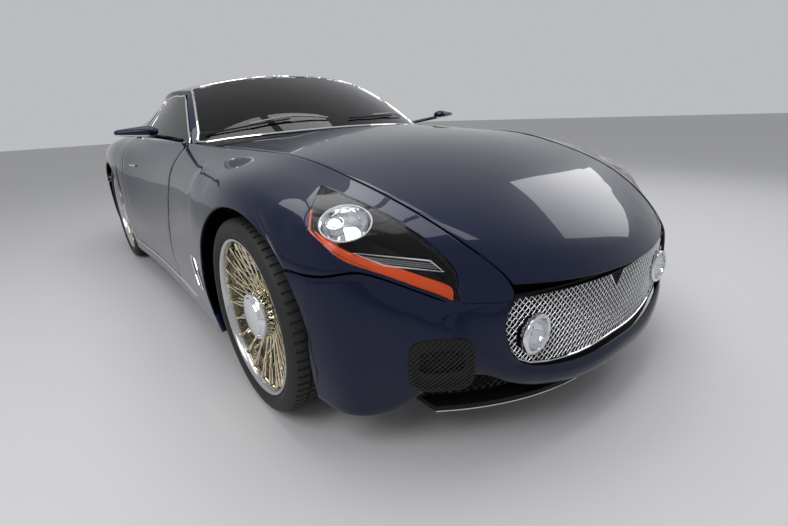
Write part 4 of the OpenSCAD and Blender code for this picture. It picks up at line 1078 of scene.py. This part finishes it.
class COUPE_OT_lower_front(bpy.types.Operator):
    """Splitter with its bright edge, dark mesh behind it over a black sheet of painted shade, and black
    surrounds of the corner intakes that are painted shade
    """

    bl_idname = "coupe.lower_front"
    bl_label = "Lower front"

    def execute(self, context):
        blade = node_copy("splitter")
        rounded(blade, BLADE_EDGE, 3)
        settled(blade, "splitter_blade", "black", "chassis", ["splitter"])
        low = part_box("splitter")[0]
        points = [v.co for v in NODES["splitter"].data.vertices if v.co.x > low.x + BLADE_BACK]
        rim = sorted({(round(p.y, 5), round(p.x, 5)) for p in points})
        line = [Vector((x, y, low.z + BLADE_TRIM_UP)) for y, x in rim]
        edge = tubes([curved(line, 3)], BLADE_TRIM_R)
        settled(edge, "splitter_edge", "chrome", "chassis")
        # The lower mesh's solid is dressed black as a sheet behind the wires: painted shade of the lower
        # opening.
        panel("lower_mesh", "black", levels=1)
        self.wires()
        for side, sign in SIDES.items():
            self.intake_painted_shade_and_wires(side, sign)
        return {"FINISHED"}

    def wires(self):
        """Black expanded mesh over a black sheet of painted shade, only where the bumper leaves it open."""
        painted_shade_sheet, bumper = surface("lower_mesh"), surface("front_bumper")
        low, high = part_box("lower_mesh")
        outline = [(low.y, low.z), (high.y, low.z), (high.y, high.z), (low.y, high.z)]

        def place(y, z, family, step, row):
            start, way = Vector((AHEAD, y, z)), Vector((-1, 0, 0))
            point, normal = painted_shade_sheet.ray_cast(start, way)[:2]
            cover = bumper.ray_cast(start, way)[0]
            if point is None or (cover is not None and cover.x > point.x - LOWER_CLEAR):
                return None
            return point + normal * (LOWER_UP + LOWER_STEP * family)

        wires = tubes(diamonds(outline, LOWER_PITCH, place), LOWER_WIRE_R, resolution=0)
        settled(wires, "lower_mesh_wires", "gloss_black", "chassis", (), WIRE_SHARP)

    def intake_painted_shade_and_wires(self, side, sign):
        """Rounded black plate that lies on the bumper round a corner intake as painted shade of its opening,
        and the wires across it.
        """
        flip = Vector((1, -sign, 1))
        face = (Vector(INTAKE_FACE) * flip).normalized()
        centre = Vector(INTAKE_AT) * flip
        across = Vector((0, 0, 1)).cross(face).normalized()
        above = face.cross(across)
        bumper = surface("front_bumper")
        terms, heights = [], []
        for i in range(-INTAKE_TRIES, INTAKE_TRIES + 1):
            for k in range(-INTAKE_TRIES, INTAKE_TRIES + 1):
                u, v = i * INTAKE_SPACING[0], k * INTAKE_SPACING[1]
                start = centre + across * u + above * v + face * INTAKE_RAY[0]
                place = bumper.ray_cast(start, -face, INTAKE_RAY[1])[0]
                if place is not None:
                    terms.append(curve_terms(u, v))
                    heights.append((place - centre).dot(face))
        fit = np.linalg.lstsq(np.array(terms), np.array(heights), rcond=None)[0]
        proud = max(height - float(np.dot(term, fit)) for term, height in zip(terms, heights))
        lift = min(proud, INTAKE_LIFT)

        def on_face(u, v, over):
            height = float(np.dot(curve_terms(u, v), fit)) + over
            return centre + across * u + above * v + face * height

        rows, outline = [], []
        for ring in range(INTAKE_RINGS + 1):
            share = ring / INTAKE_RINGS
            half = [near + share * (far - near) for near, far in zip(INTAKE_IN, INTAKE_OUT)]
            outline = []
            for step in range(INTAKE_STEPS + 1):
                turn = math.tau * step / INTAKE_STEPS
                round_turn = (math.cos(turn), math.sin(turn))
                u, v = (math.copysign(abs(c) ** INTAKE_SQUARE, c) for c in round_turn)
                outline.append((u * half[0], v * half[1] + INTAKE_UP * (1 - share)))
            rows.append([on_face(u, v, lift * (1 - share) + INTAKE_GAP) for u, v in outline])
        piece = grid(rows)
        edit(piece)
        bpy.ops.mesh.remove_doubles(threshold=MERGE)
        bpy.ops.mesh.normals_make_consistent(inside=False)
        fresh()
        applied(piece, "SOLIDIFY", thickness=INTAKE_T, offset=0)
        # This black plate stands for the dark of the intake's opening: painted shade laid over the bumper's
        # paint.
        settled(piece, f"intake_painted_shade_{side}", "black", "chassis")

        def wire_at(u, v, family, step, row):
            return on_face(u, v, INTAKE_WIRE_UP + family * INTAKE_WIRE_STEP)

        wires = tubes(diamonds(outline[:-1], INTAKE_PITCH, wire_at), INTAKE_WIRE_R, resolution=0)
        settled(wires, f"intake_wires_{side}", "gloss_black", "chassis", (), WIRE_SHARP)


# Tyre: (mm beyond the rim, mm in from the side) up its wall, (mm under the tread, mm in) round its
# shoulder, and its grooves: places as shares of half the width, depth, half width and the share of that
# at their foot
TYRE_WALL = [(-10, 16), (0, 16), (4, 10), (9, 8), (14, 3), (20, 2.4), (21, 1), (34, 0)]
TYRE_SHOULDER = [(32, 0.5), (22, 3), (12, 9), (5, 18), (1.5, 30)]
GROOVES = (0.52, 0.18, -0.18, -0.52)
GROOVE_D = 7 * MM
GROOVE_W = 5 * MM
GROOVE_FOOT = 0.7
# Cuts in the tread: every third step, one step on outside the middle, on faces near the top that face
# out
CUT_EVERY = 3
CUT_MIDDLE = 0.3
CUT_TOP = 5.5 * MM
CUT_FLAT = 0.75
CUT_INSET = 1.8 * MM
CUT_D = 4.5 * MM


def tyre_profile(radius, half, rim):
    """(radius, out) points round a low tyre's section, with four grooves in its tread."""
    side = [(rim + up * MM, half - inset * MM) for up, inset in TYRE_WALL]
    side += [(radius - under * MM, half - inset * MM) for under, inset in TYRE_SHOULDER]
    tread = []
    foot = GROOVE_W * GROOVE_FOOT
    for place in GROOVES:
        y = place * half
        tread += [(radius, y + GROOVE_W), (radius - GROOVE_D, y + foot)]
        tread += [(radius - GROOVE_D, y - foot), (radius, y - GROOVE_W)]
    other = [(r, -out) for r, out in reversed(side)]
    return side + tread + other


class COUPE_OT_tyres(bpy.types.Operator):
    """Low tyres with grooves and cut tread blocks"""

    bl_idname = "coupe.tyres"
    bl_label = "Tyres"

    def execute(self, context):
        steps = context.scene.coupe_sizes.tread_steps
        made = {}
        for corner in CORNERS:
            low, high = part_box(f"tyre_{corner}")
            radius, half = (high.z - low.z) / 2, (high.y - low.y) / 2
            key = round(radius, 4)
            if key not in made:
                made[key] = self.tyre(radius, half, steps)
            piece = made[key].copy()
            piece.data = made[key].data.copy()
            bpy.context.scene.collection.objects.link(piece)
            piece.location = (low + high) / 2
            if low.y < 0:
                piece.rotation_euler.z = math.pi
            name, body = f"tyre_{corner}_rubber", f"wheel_{corner}"
            settled(piece, name, "rubber", body, [f"tyre_{corner}"], WHEEL_SHARP)
        for piece in made.values():
            bpy.data.objects.remove(piece)
        return {"FINISHED"}

    def tyre(self, radius, half, steps):
        low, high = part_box("wheel_front_left")
        piece = spun(tyre_profile(radius, half, (high.z - low.z) / 2), steps)
        bpy.context.tool_settings.mesh_select_mode = (False, False, True)
        edit(piece)
        bpy.ops.mesh.select_all(action="DESELECT")
        fresh()
        for face in piece.data.polygons:
            centre = face.center
            turn = math.degrees(math.atan2(centre.z, centre.x)) % 360
            late = 1 if abs(centre.y) > half * CUT_MIDDLE else 0
            cut = int(turn / 360 * steps + late) % CUT_EVERY == 0
            top = math.hypot(centre.x, centre.z) > radius - CUT_TOP
            face.select = cut and top and abs(face.normal.y) < CUT_FLAT
        pick(piece)
        bpy.ops.object.mode_set(mode="EDIT")
        bpy.ops.mesh.inset(thickness=CUT_INSET, use_boundary=True)
        bpy.ops.transform.shrink_fatten(value=-CUT_D)
        fresh()
        return piece


# Wheel: how far its rim ends inside the tyre's side, the lip beyond that, and the depth of the well
RIM_IN = 16 * MM
LIP = 7 * MM
WELL = 16 * MM
RIM_STEPS = 96
# (mm under the rim's edge, side, mm back from that side's lip) round the rim
RIM = [
    (16, -1, 0),
    (1, -1, 0),
    (0, -1, 7),
    (11, -1, 7),
    (11, 1, 7),
    (0, 1, 7),
    (0, 1, 3),
    (1, 1, 1),
    (4, 1, 0),
    (9, 1, 1),
    (12, 1, 4),
    (14, 1, 10),
    (16, 1, 18),
    (18, 1, 30),
    (18, 1, 110),
    (16, 1, 122),
]
# (mm, mm out) round the hub, (mm, mm out from its face) round the cap, and the points that close the
# hub's bore
HUB = [(19, -64), (46, -64), (50, -58), (46, -20), (44, 30), (50, 52), (82, 58), (85, 62)]
CAP = [(85, -18), (81, -13), (71.4, -12), (68, -6), (38.25, -1.5), (0, 0)]
BORE = [(0, 50), (19, 50)]
CAP_IN = 1 * MM
HUB_STEPS = 64
# Spokes: (mm out at the hub, mm out at the rim, degrees of lacing) of each row, the part of a step that
# each row is turned on, their radius at the hub, their lap in the well, and the ends and thickness of a
# nipple
SPOKE_ROWS = [(50, 98, 26), (42, 88, -26), (-24, 62, 34), (-40, 44, -34)]
SPOKE_STAGGER = 0.25
SPOKE_FOOT = 44 * MM
SPOKE_LAP = 3 * MM
NIPPLE = (0.10, 0.005)
NIPPLE_R = 0.85


class COUPE_OT_wheels(bpy.types.Operator):
    """Wire wheels: bright rim, laced warm spokes, hub shell and polished cap"""

    bl_idname = "coupe.wheels"
    bl_label = "Wire wheels"

    def execute(self, context):
        for corner in CORNERS:
            low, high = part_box(f"wheel_{corner}")
            tyre_low, tyre_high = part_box(f"tyre_{corner}")
            centre = (tyre_low + tyre_high) / 2
            lip = (tyre_high.y - tyre_low.y) / 2 - RIM_IN + LIP
            out = max(high.y - centre.y, centre.y - low.y)
            turn = 0 if low.y > 0 else math.pi
            self.wheel(corner, centre, (high.z - low.z) / 2, lip, out - CAP_IN, turn)
        return {"FINISHED"}

    def wheel(self, corner, centre, radius, lip, cap, turn):
        profile = [(radius - under * MM, side * (lip - back * MM)) for under, side, back in RIM]
        rim = spun(profile, RIM_STEPS)
        face = [(r, cap + out) for r, out in in_mm(CAP)]
        hub = spun(in_mm(HUB) + face + in_mm(BORE), HUB_STEPS)
        spokes = self.spokes(radius - WELL - SPOKE_LAP)
        pieces = ((rim, "rim", "alloy"), (hub, "hub", "chrome"), (spokes, "spokes", "spokes"))
        for piece, name, finish in pieces:
            piece.location = centre
            piece.rotation_euler.z = turn
            node = [f"wheel_{corner}"] if name == "rim" else ()
            name = f"wheel_{corner}_{name}"
            settled(piece, name, finish, f"wheel_{corner}", node, WHEEL_SHARP)

    def spokes(self, reach):
        """Crossed spokes with a nipple at the outer end of each."""
        sizes = bpy.context.scene.coupe_sizes
        lines, nipples = [], []
        for number, (near, far, lacing) in enumerate(SPOKE_ROWS):
            for i in range(sizes.spoke_count):
                angle = math.tau * (i + number * SPOKE_STAGGER) / sizes.spoke_count
                end = angle + math.radians(lacing)
                start = Vector((SPOKE_FOOT * math.cos(angle), near * MM, SPOKE_FOOT * math.sin(angle)))
                stop = Vector((reach * math.cos(end), far * MM, reach * math.sin(end)))
                lines.append([start, stop])
                nipples.append([stop.lerp(start, share) for share in NIPPLE])
        wires = tubes(lines, sizes.spoke_d / 2, resolution=1)
        return joined([wires, tubes(nipples, sizes.spoke_d * NIPPLE_R, resolution=1)])


# Sharp edges of the plain solids, in degrees
NODE_SHARP = 30


class COUPE_OT_running_gear(bpy.types.Operator):
    """Discs, suspension, engine, underside and exhaust"""

    bl_idname = "coupe.running_gear"
    bl_label = "Running gear"

    def execute(self, context):
        for corner in CORNERS:
            self.dressed(f"disc_{corner}", "disc")
        plain = {
            "floor_pan": "carpet",
            "door_hinges": "steel",
            "lid_posts": "steel",
            "hood_arms": "steel",
            "boot_arms": "steel",
            "front_suspension": "steel",
            "rear_axle": "cast",
            "knuckle_left": "cast",
            "knuckle_right": "cast",
            "engine": "cast",
            "radiator": "black",
            "wheel_liners": "black",
            "exhaust": "chrome",
        }
        for node, finish in plain.items():
            self.dressed(node, finish)
        return {"FINISHED"}

    def dressed(self, node, finish):
        piece = NODES[node]
        pick(piece)
        bpy.ops.object.shade_smooth_by_angle(angle=math.radians(NODE_SHARP))
        piece.data.materials.clear()
        piece.data.materials.append(STUFF[finish])


# Radius of the bright rim round a tail lamp
TAIL_RIM_R = 3.5 * MM


class COUPE_OT_tail(bpy.types.Operator):
    """Red tail lamps with bright rims"""

    bl_idname = "coupe.tail"
    bl_label = "Tail lamps"

    def execute(self, context):
        lines = [border("tail_lamps", (-1, sign * 0.4, 0)) for sign in SIDES.values()]
        panel("tail_lamps", "red", edge=0)
        rims = tubes([curved(line, 3, closed=True) for line in lines], TAIL_RIM_R, closed=True)
        settled(rims, "tail_lamp_rims", "chrome", "chassis")
        return {"FINISHED"}


# Door handle: its rear end (x) and height (z) on the door, length, steps, radius, and how far its ends
# and its middle stand off
HANDLE_X = -0.62
HANDLE_Z = 0.765
HANDLE_L = 0.13
HANDLE_STEPS = 8
HANDLE_R = 5.5 * MM
HANDLE_OFF = 2
HANDLE_BOW = 12


class COUPE_OT_handles(bpy.types.Operator):
    """Slim bright door handles"""

    bl_idname = "coupe.handles"
    bl_label = "Door handles"

    def execute(self, context):
        for side, sign in SIDES.items():
            tree = surface(f"door_{side}")
            line = []
            for step in range(HANDLE_STEPS + 1):
                t = step / HANDLE_STEPS
                start = Vector((HANDLE_X + HANDLE_L * t, sign * BESIDE, HANDLE_Z))
                place = tree.ray_cast(start, Vector((0, -sign, 0)))[0]
                off = (HANDLE_OFF + HANDLE_BOW * math.sin(math.pi * t)) * MM
                line.append(place + Vector((0, sign * off, 0)))
            handle = tubes([line], HANDLE_R)
            settled(handle, f"door_handle_{side}", "chrome", f"door_{side}")
        return {"FINISHED"}


# Side vent: corners (x, z) on the fender, points along each edge, and its frame and plate with the
# distance that each stands off
VENT = [(0.825, 0.345), (0.895, 0.345), (0.835, 0.465), (0.765, 0.465)]
VENT_SHARES = (0.08, 0.5, 0.92)
VENT_FRAME_R = 4.5 * MM
VENT_FRAME_OFF = 1.5 * MM
VENT_PLATE_T = 1.5 * MM
VENT_PLATE_OFF = 1 * MM
# Sill strip: ends (x), height (z), steps and radius
SILL_STRIP = (0.62, -0.86, 0.222)
SILL_STEPS = 24
SILL_R = 4 * MM


class COUPE_OT_side_trim(bpy.types.Operator):
    """Bright vent behind each front wheel and a strip along each sill"""

    bl_idname = "coupe.side_trim"
    bl_label = "Side trim"

    def execute(self, context):
        fender, sill = surface("front_fenders"), surface("sills")
        for side, sign in SIDES.items():
            inward = Vector((0, -sign, 0))
            corners = []
            for (ax, az), (bx, bz) in zip(VENT, VENT[1:] + VENT[:1]):
                for share in VENT_SHARES:
                    start = Vector((ax + (bx - ax) * share, sign * BESIDE, az + (bz - az) * share))
                    corners.append(fender.ray_cast(start, inward)[0])
            outline = tubes([[p - inward * VENT_FRAME_OFF for p in corners]], VENT_FRAME_R, closed=True)
            settled(outline, f"side_vent_{side}", "chrome", "chassis")
            self.louvre(side, [p - inward * VENT_PLATE_OFF for p in corners])
            front, rear, height = SILL_STRIP
            line = []
            for step in range(SILL_STEPS + 1):
                x = front + (rear - front) * step / SILL_STEPS
                place = sill.ray_cast(Vector((x, sign * BESIDE, height)), inward)[0]
                if place is not None:
                    line.append(place)
            settled(tubes([line], SILL_R), f"sill_strip_{side}", "chrome", "chassis")
        return {"FINISHED"}

    def louvre(self, side, corners):
        """Dark plate inside the vent's frame."""
        fresh()
        bpy.ops.mesh.primitive_circle_add(vertices=len(corners), radius=1, fill_type="NGON")
        plate = bpy.context.object
        for vertex, place in zip(plate.data.vertices, corners):
            vertex.co = place
        applied(plate, "SOLIDIFY", thickness=VENT_PLATE_T, offset=0)
        settled(plate, f"side_vent_plate_{side}", "black", "chassis")


# Wiper points (y, x) on the glass, from the tip to the pivot end, in metres
WIPERS = [
    [(-0.68, 0.34), (-0.485, 0.45), (-0.29, 0.515), (-0.10, 0.575)],
    [(0.02, 0.595), (0.20, 0.565), (0.40, 0.48), (0.55, 0.39)],
]
# How far the wipers stand off the glass and their arms over the blades, and the radii of blade and arm
WIPER_OFF = 8 * MM
WIPER_LIFTS = (9 * MM, 12 * MM, 0)
WIPER_BLADE_R = 4 * MM
WIPER_ARM_R = 4.5 * MM


class COUPE_OT_wipers(bpy.types.Operator):
    """Two wipers that lie on the foot of the windscreen"""

    bl_idname = "coupe.wipers"
    bl_label = "Wipers"

    def execute(self, context):
        tree = surface("windscreen")
        for number, points in enumerate(WIPERS):
            line = []
            for y, x in points:
                place, normal = tree.ray_cast(Vector((x, y, ABOVE)), Vector((0, 0, -1)))[:2]
                line.append(place + normal * WIPER_OFF)
            blade = tubes([curved(line[:3])], WIPER_BLADE_R)
            settled(blade, f"wiper_blade_{number}", "black", "chassis")
            lifted = [place + Vector((0, 0, lift)) for place, lift in zip(line[1:], WIPER_LIFTS)]
            arm = tubes([curved(lifted)], WIPER_ARM_R)
            settled(arm, f"wiper_arm_{number}", "steel", "chassis")
        return {"FINISHED"}


# Rounded edges of the dashboard and the steering wheel
DASH_EDGE = 25 * MM
STEERING_EDGE = 3 * MM
# Seat, in metres: the pads' inset from its box, where the cushion starts and ends, where the back
# starts and ends and how high it starts and stops, and its lean in degrees
PAD_INSET = 0.012
CUSHION_BACK = 0.16
CUSHION_TOP = 0.175
BACK_REAR = 0.135
BACK_FRONT = 0.255
BACK_FOOT = 0.09
BACK_TOP = 0.02
BACK_LEAN = -15
# Seat pads: cuts before they are smoothed, how far their sides pull in and their face falls away to the
# sides and ends, how far they swell, the depth, number and sharpness of their seams, and the mesh step
PAD_CUTS = 6
PAD_PULL = 0.06
PAD_FACE = 0.9
PAD_CROWN = 0.16
PAD_ENDS = 0.4
PAD_SWELL = 0.010
PAD_SEAM = 0.009
PAD_SEAMS = 3
PAD_SEAM_SHARP = 10
PAD_VOXEL = 0.008
PAD_PRESSURE = 4
PAD_FRAMES = 20


class COUPE_OT_cabin(bpy.types.Operator):
    """Padded seats, dashboard and steering wheel"""

    bl_idname = "coupe.cabin"
    bl_label = "Cabin"

    def execute(self, context):
        for side, sign in SIDES.items():
            self.seat(side, *span(side_points("seats", sign)))
        dash = node_copy("dashboard")
        rounded(dash, DASH_EDGE, 4)
        settled(dash, "dashboard_hide", "leather", "chassis", ["dashboard"])
        wheel = node_copy("steering_wheel")
        rounded(wheel, STEERING_EDGE)
        settled(wheel, "steering_wheel_hide", "leather", "steering_wheel", ["steering_wheel"])
        return {"FINISHED"}

    def seat(self, side, low, high):
        floor = low.z
        pad_low = Vector((low.x + CUSHION_BACK, low.y + PAD_INSET, floor + PAD_INSET))
        pad_high = Vector((high.x - PAD_INSET, high.y - PAD_INSET, floor + CUSHION_TOP))
        self.pad(f"seat_cushion_{side}", pad_low, pad_high, 0, ["seats"])
        back_low = Vector((low.x + BACK_REAR, low.y + PAD_INSET, floor + BACK_FOOT))
        back_high = Vector((low.x + BACK_FRONT, high.y - PAD_INSET, high.z - BACK_TOP))
        self.pad(f"seat_back_{side}", back_low, back_high, math.radians(BACK_LEAN), ())

    def pad(self, name, low, high, lean, replaced):
        """A crowned pad, swollen as cloth under pressure, with sewn channels along it."""
        foot = Vector((low.x, (low.y + high.y) / 2, low.z))
        low, high = low + Vector((1, 1, 1)) * PAD_SWELL, high - Vector((1, 1, 1)) * PAD_SWELL
        fresh()
        bpy.ops.mesh.primitive_cube_add(size=1, location=(low + high) / 2, scale=high - low)
        piece = bpy.context.object
        bpy.ops.object.transform_apply(location=True, rotation=True, scale=True)
        edit(piece)
        bpy.ops.mesh.subdivide(number_cuts=PAD_CUTS)
        fresh()
        size, centre = high - low, (low + high) / 2
        axis = 2 if size.x > size.z else 0
        for vertex in piece.data.vertices:
            share = [(vertex.co[i] - centre[i]) / size[i] * 2 for i in range(3)]
            pull = 1 - PAD_PULL * (1 - share[axis] ** 2)
            vertex.co[1] = centre[1] + share[1] * size[1] / 2 * pull
            if share[axis] > PAD_FACE:
                drop = PAD_CROWN * share[1] ** 2 * size[axis]
                vertex.co[axis] -= drop * (1 - PAD_ENDS * abs(share[2 - axis]))
        subdivided(piece, 2)
        self.swell(piece)
        for vertex in piece.data.vertices:
            across = (vertex.co[1] - centre[1]) / size[1] * 2
            face = (vertex.co[axis] - centre[axis]) / size[axis] * 2
            seam = max(0, math.cos(across * math.pi * PAD_SEAMS)) ** PAD_SEAM_SHARP
            vertex.co[axis] -= PAD_SEAM * seam * min(max(face, 0), 1)
        if lean:
            turn = Matrix.Translation(foot) @ Matrix.Rotation(lean, 4, "Y") @ Matrix.Translation(-foot)
            piece.data.transform(turn)
        settled(piece, name, "leather", "chassis", replaced)

    def swell(self, piece):
        """Cloth under pressure without gravity; no point moves further than the cap."""
        applied(piece, "REMESH", mode="VOXEL", voxel_size=PAD_VOXEL)
        start = [vertex.co.copy() for vertex in piece.data.vertices]
        pick(piece)
        bpy.ops.object.modifier_add(type="CLOTH")
        cloth = piece.modifiers[-1]
        cloth.settings.use_pressure = True
        cloth.settings.uniform_pressure_force = PAD_PRESSURE
        cloth.settings.effector_weights.gravity = 0
        scene = bpy.context.scene
        for step in range(1, PAD_FRAMES + 1):
            scene.frame_set(step)
        bpy.ops.object.modifier_apply(modifier=cloth.name)
        scene.frame_set(1)
        for vertex, place in zip(piece.data.vertices, start):
            move = vertex.co - place
            if move.length > PAD_SWELL:
                vertex.co = place + move * (PAD_SWELL / move.length)


# Camera: place in metres, turn, lift and roll in degrees, focal length and width of the picture in
# pixels, and the sensor's width in millimetres
CAMERA_AT = (2.7256, -1.3635, 1.0044)
CAMERA_TURN = (52.311, 18.985, -2.873)
FOCAL_PX = 437.07
PICTURE_PX = 788
SENSOR = 36
NEAR = 0.01
# Lamps: (name, place, size, watts), and those overhead: columns, rows, first place, steps, size and
# watts
STUDIO_LAMPS = [("key", (2.4, -3.6, 4.2), (2.6, 2.6), 95), ("fill", (1.5, 4.5, 3.2), (3.0, 2.0), 40)]
ROOF_COLUMNS = 3
ROOF_ROWS = 2
ROOF_AT = (2.0, -0.85, 4.2)
ROOF_STEP = (1.3, 1.7)
ROOF_SIZE = (1.1, 1.5)
ROOF_POWER = 15
AIM = (0.4, 0, 0.4)
# Room: size of the floor in metres, colour of the world, and its strength as light and where it is seen
FLOOR_SIZE = 60
ROOM = (0.86, 0.87, 0.89, 1)
ROOM_LIGHT = 0.49
ROOM_SEEN = 0.58


class COUPE_OT_stage(bpy.types.Operator):
    """Pale floor, soft studio light and the camera"""

    bl_idname = "coupe.stage"
    bl_label = "Studio"

    def execute(self, context):
        self.camera()
        self.floor()
        self.world()
        for name, place, size, power in STUDIO_LAMPS:
            self.lamp(name, place, size, power, AIM)
        x, y, height = ROOF_AT
        for column in range(ROOF_COLUMNS):
            for row in range(ROOF_ROWS):
                place = (x - ROOF_STEP[0] * column, y + ROOF_STEP[1] * row, height)
                self.lamp(f"roof_light_{column}{row}", place, ROOF_SIZE, ROOF_POWER, (*place[:2], 0))
        context.scene.view_settings.view_transform = "Standard"
        return {"FINISHED"}

    def camera(self):
        turn, lift, roll = (math.radians(a) for a in CAMERA_TURN)
        back = Vector((math.sin(turn) * math.cos(lift), -math.cos(turn) * math.cos(lift), math.sin(lift)))
        right = Vector((0, 0, 1)).cross(back).normalized()
        up = back.cross(right)
        across = math.cos(roll) * right + math.sin(roll) * up
        above = math.cos(roll) * up - math.sin(roll) * right
        fresh()
        bpy.ops.object.camera_add()
        camera = bpy.context.object
        camera.name = "camera"
        axes = Matrix((across, above, back)).transposed().to_4x4()
        camera.matrix_world = Matrix.Translation(CAMERA_AT) @ axes
        camera.data.sensor_fit = "HORIZONTAL"
        camera.data.sensor_width = SENSOR
        camera.data.lens = FOCAL_PX / PICTURE_PX * SENSOR
        camera.data.clip_start = NEAR
        bpy.context.scene.camera = camera

    def floor(self):
        fresh()
        bpy.ops.mesh.primitive_plane_add(size=FLOOR_SIZE)
        floor = bpy.context.object
        floor.name = "studio_floor"
        finish = Finish("studio_floor", Specular_IOR_Level=0.25)
        pale = tuple(bpy.context.scene.coupe_colours.floor)
        finish.colour(finish.noise(scale=3), shaded(pale, 0.985), pale)
        finish.rough(0.55 + 0.1 * finish.noise(scale=30))
        floor.data.materials.append(finish.material)
        floor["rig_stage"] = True

    def world(self):
        """Pale room that is brighter where it is seen, mirrored or looked through than as light."""
        world = bpy.data.worlds.new("studio")
        bpy.context.scene.world = world
        world.use_nodes = True
        tree = world.node_tree
        background = tree.nodes["Background"]
        background.inputs["Color"].default_value = ROOM
        path = tree.nodes.new("ShaderNodeLightPath")
        shown = None
        for ray in ("Is Camera Ray", "Is Glossy Ray", "Is Transmission Ray"):
            total = tree.nodes.new("ShaderNodeMath")
            total.operation = "MAXIMUM"
            total.inputs[1].default_value = 0
            tree.links.new(path.outputs[ray], total.inputs[0])
            if shown:
                tree.links.new(shown, total.inputs[1])
            shown = total.outputs[0]
        strength = tree.nodes.new("ShaderNodeMapRange")
        strength.inputs["To Min"].default_value = ROOM_LIGHT
        strength.inputs["To Max"].default_value = ROOM_SEEN
        tree.links.new(shown, strength.inputs["Value"])
        tree.links.new(strength.outputs[0], background.inputs["Strength"])

    def lamp(self, name, place, size, power, target):
        fresh()
        bpy.ops.object.light_add(type="AREA", location=place)
        lamp = bpy.context.object
        lamp.name = name
        lamp.data.shape = "RECTANGLE"
        lamp.data.size, lamp.data.size_y = size
        lamp.data.energy = power
        aim = Vector(target) - Vector(place)
        lamp.rotation_euler = aim.to_track_quat("-Z", "Y").to_euler()


OPERATORS = (
    COUPE_OT_stage,
    COUPE_OT_panels,
    COUPE_OT_glazing,
    COUPE_OT_mirrors,
    COUPE_OT_grille,
    COUPE_OT_driving_lamps,
    COUPE_OT_headlamps,
    COUPE_OT_lower_front,
    COUPE_OT_tyres,
    COUPE_OT_wheels,
    COUPE_OT_running_gear,
    COUPE_OT_tail,
    COUPE_OT_handles,
    COUPE_OT_side_trim,
    COUPE_OT_wipers,
    COUPE_OT_cabin,
)


class COUPE_PT_finish(bpy.types.Panel):
    """The coupe's pieces in the sidebar"""

    bl_label = "Coupe finish"
    bl_idname = "COUPE_PT_finish"
    bl_space_type = "VIEW_3D"
    bl_region_type = "UI"
    bl_category = "Coupe"

    def draw(self, context):
        for group in (context.scene.coupe_sizes, context.scene.coupe_colours):
            for name in group.__annotations__:
                self.layout.prop(group, name)
        for operator in OPERATORS:
            self.layout.operator(operator.bl_idname)


CLASSES = (CoupeSizes, CoupeColours, *OPERATORS, COUPE_PT_finish)


def register():
    for item in CLASSES:
        bpy.utils.register_class(item)
    bpy.types.Scene.coupe_sizes = bpy.props.PointerProperty(type=CoupeSizes)
    bpy.types.Scene.coupe_colours = bpy.props.PointerProperty(type=CoupeColours)


def unregister():
    del bpy.types.Scene.coupe_colours
    del bpy.types.Scene.coupe_sizes
    for item in reversed(CLASSES):
        bpy.utils.unregister_class(item)


def main():
    register()
    make_finishes()
    for operator in OPERATORS:
        group, name = operator.bl_idname.split(".")
        getattr(getattr(bpy.ops, group), name)()
    fresh()
    boxes = {"cad": CAD_BOX, "visual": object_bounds()}
    {key: [list(corner) for corner in box] for key, box in boxes.items()}


if __name__ == "__main__":
    main()
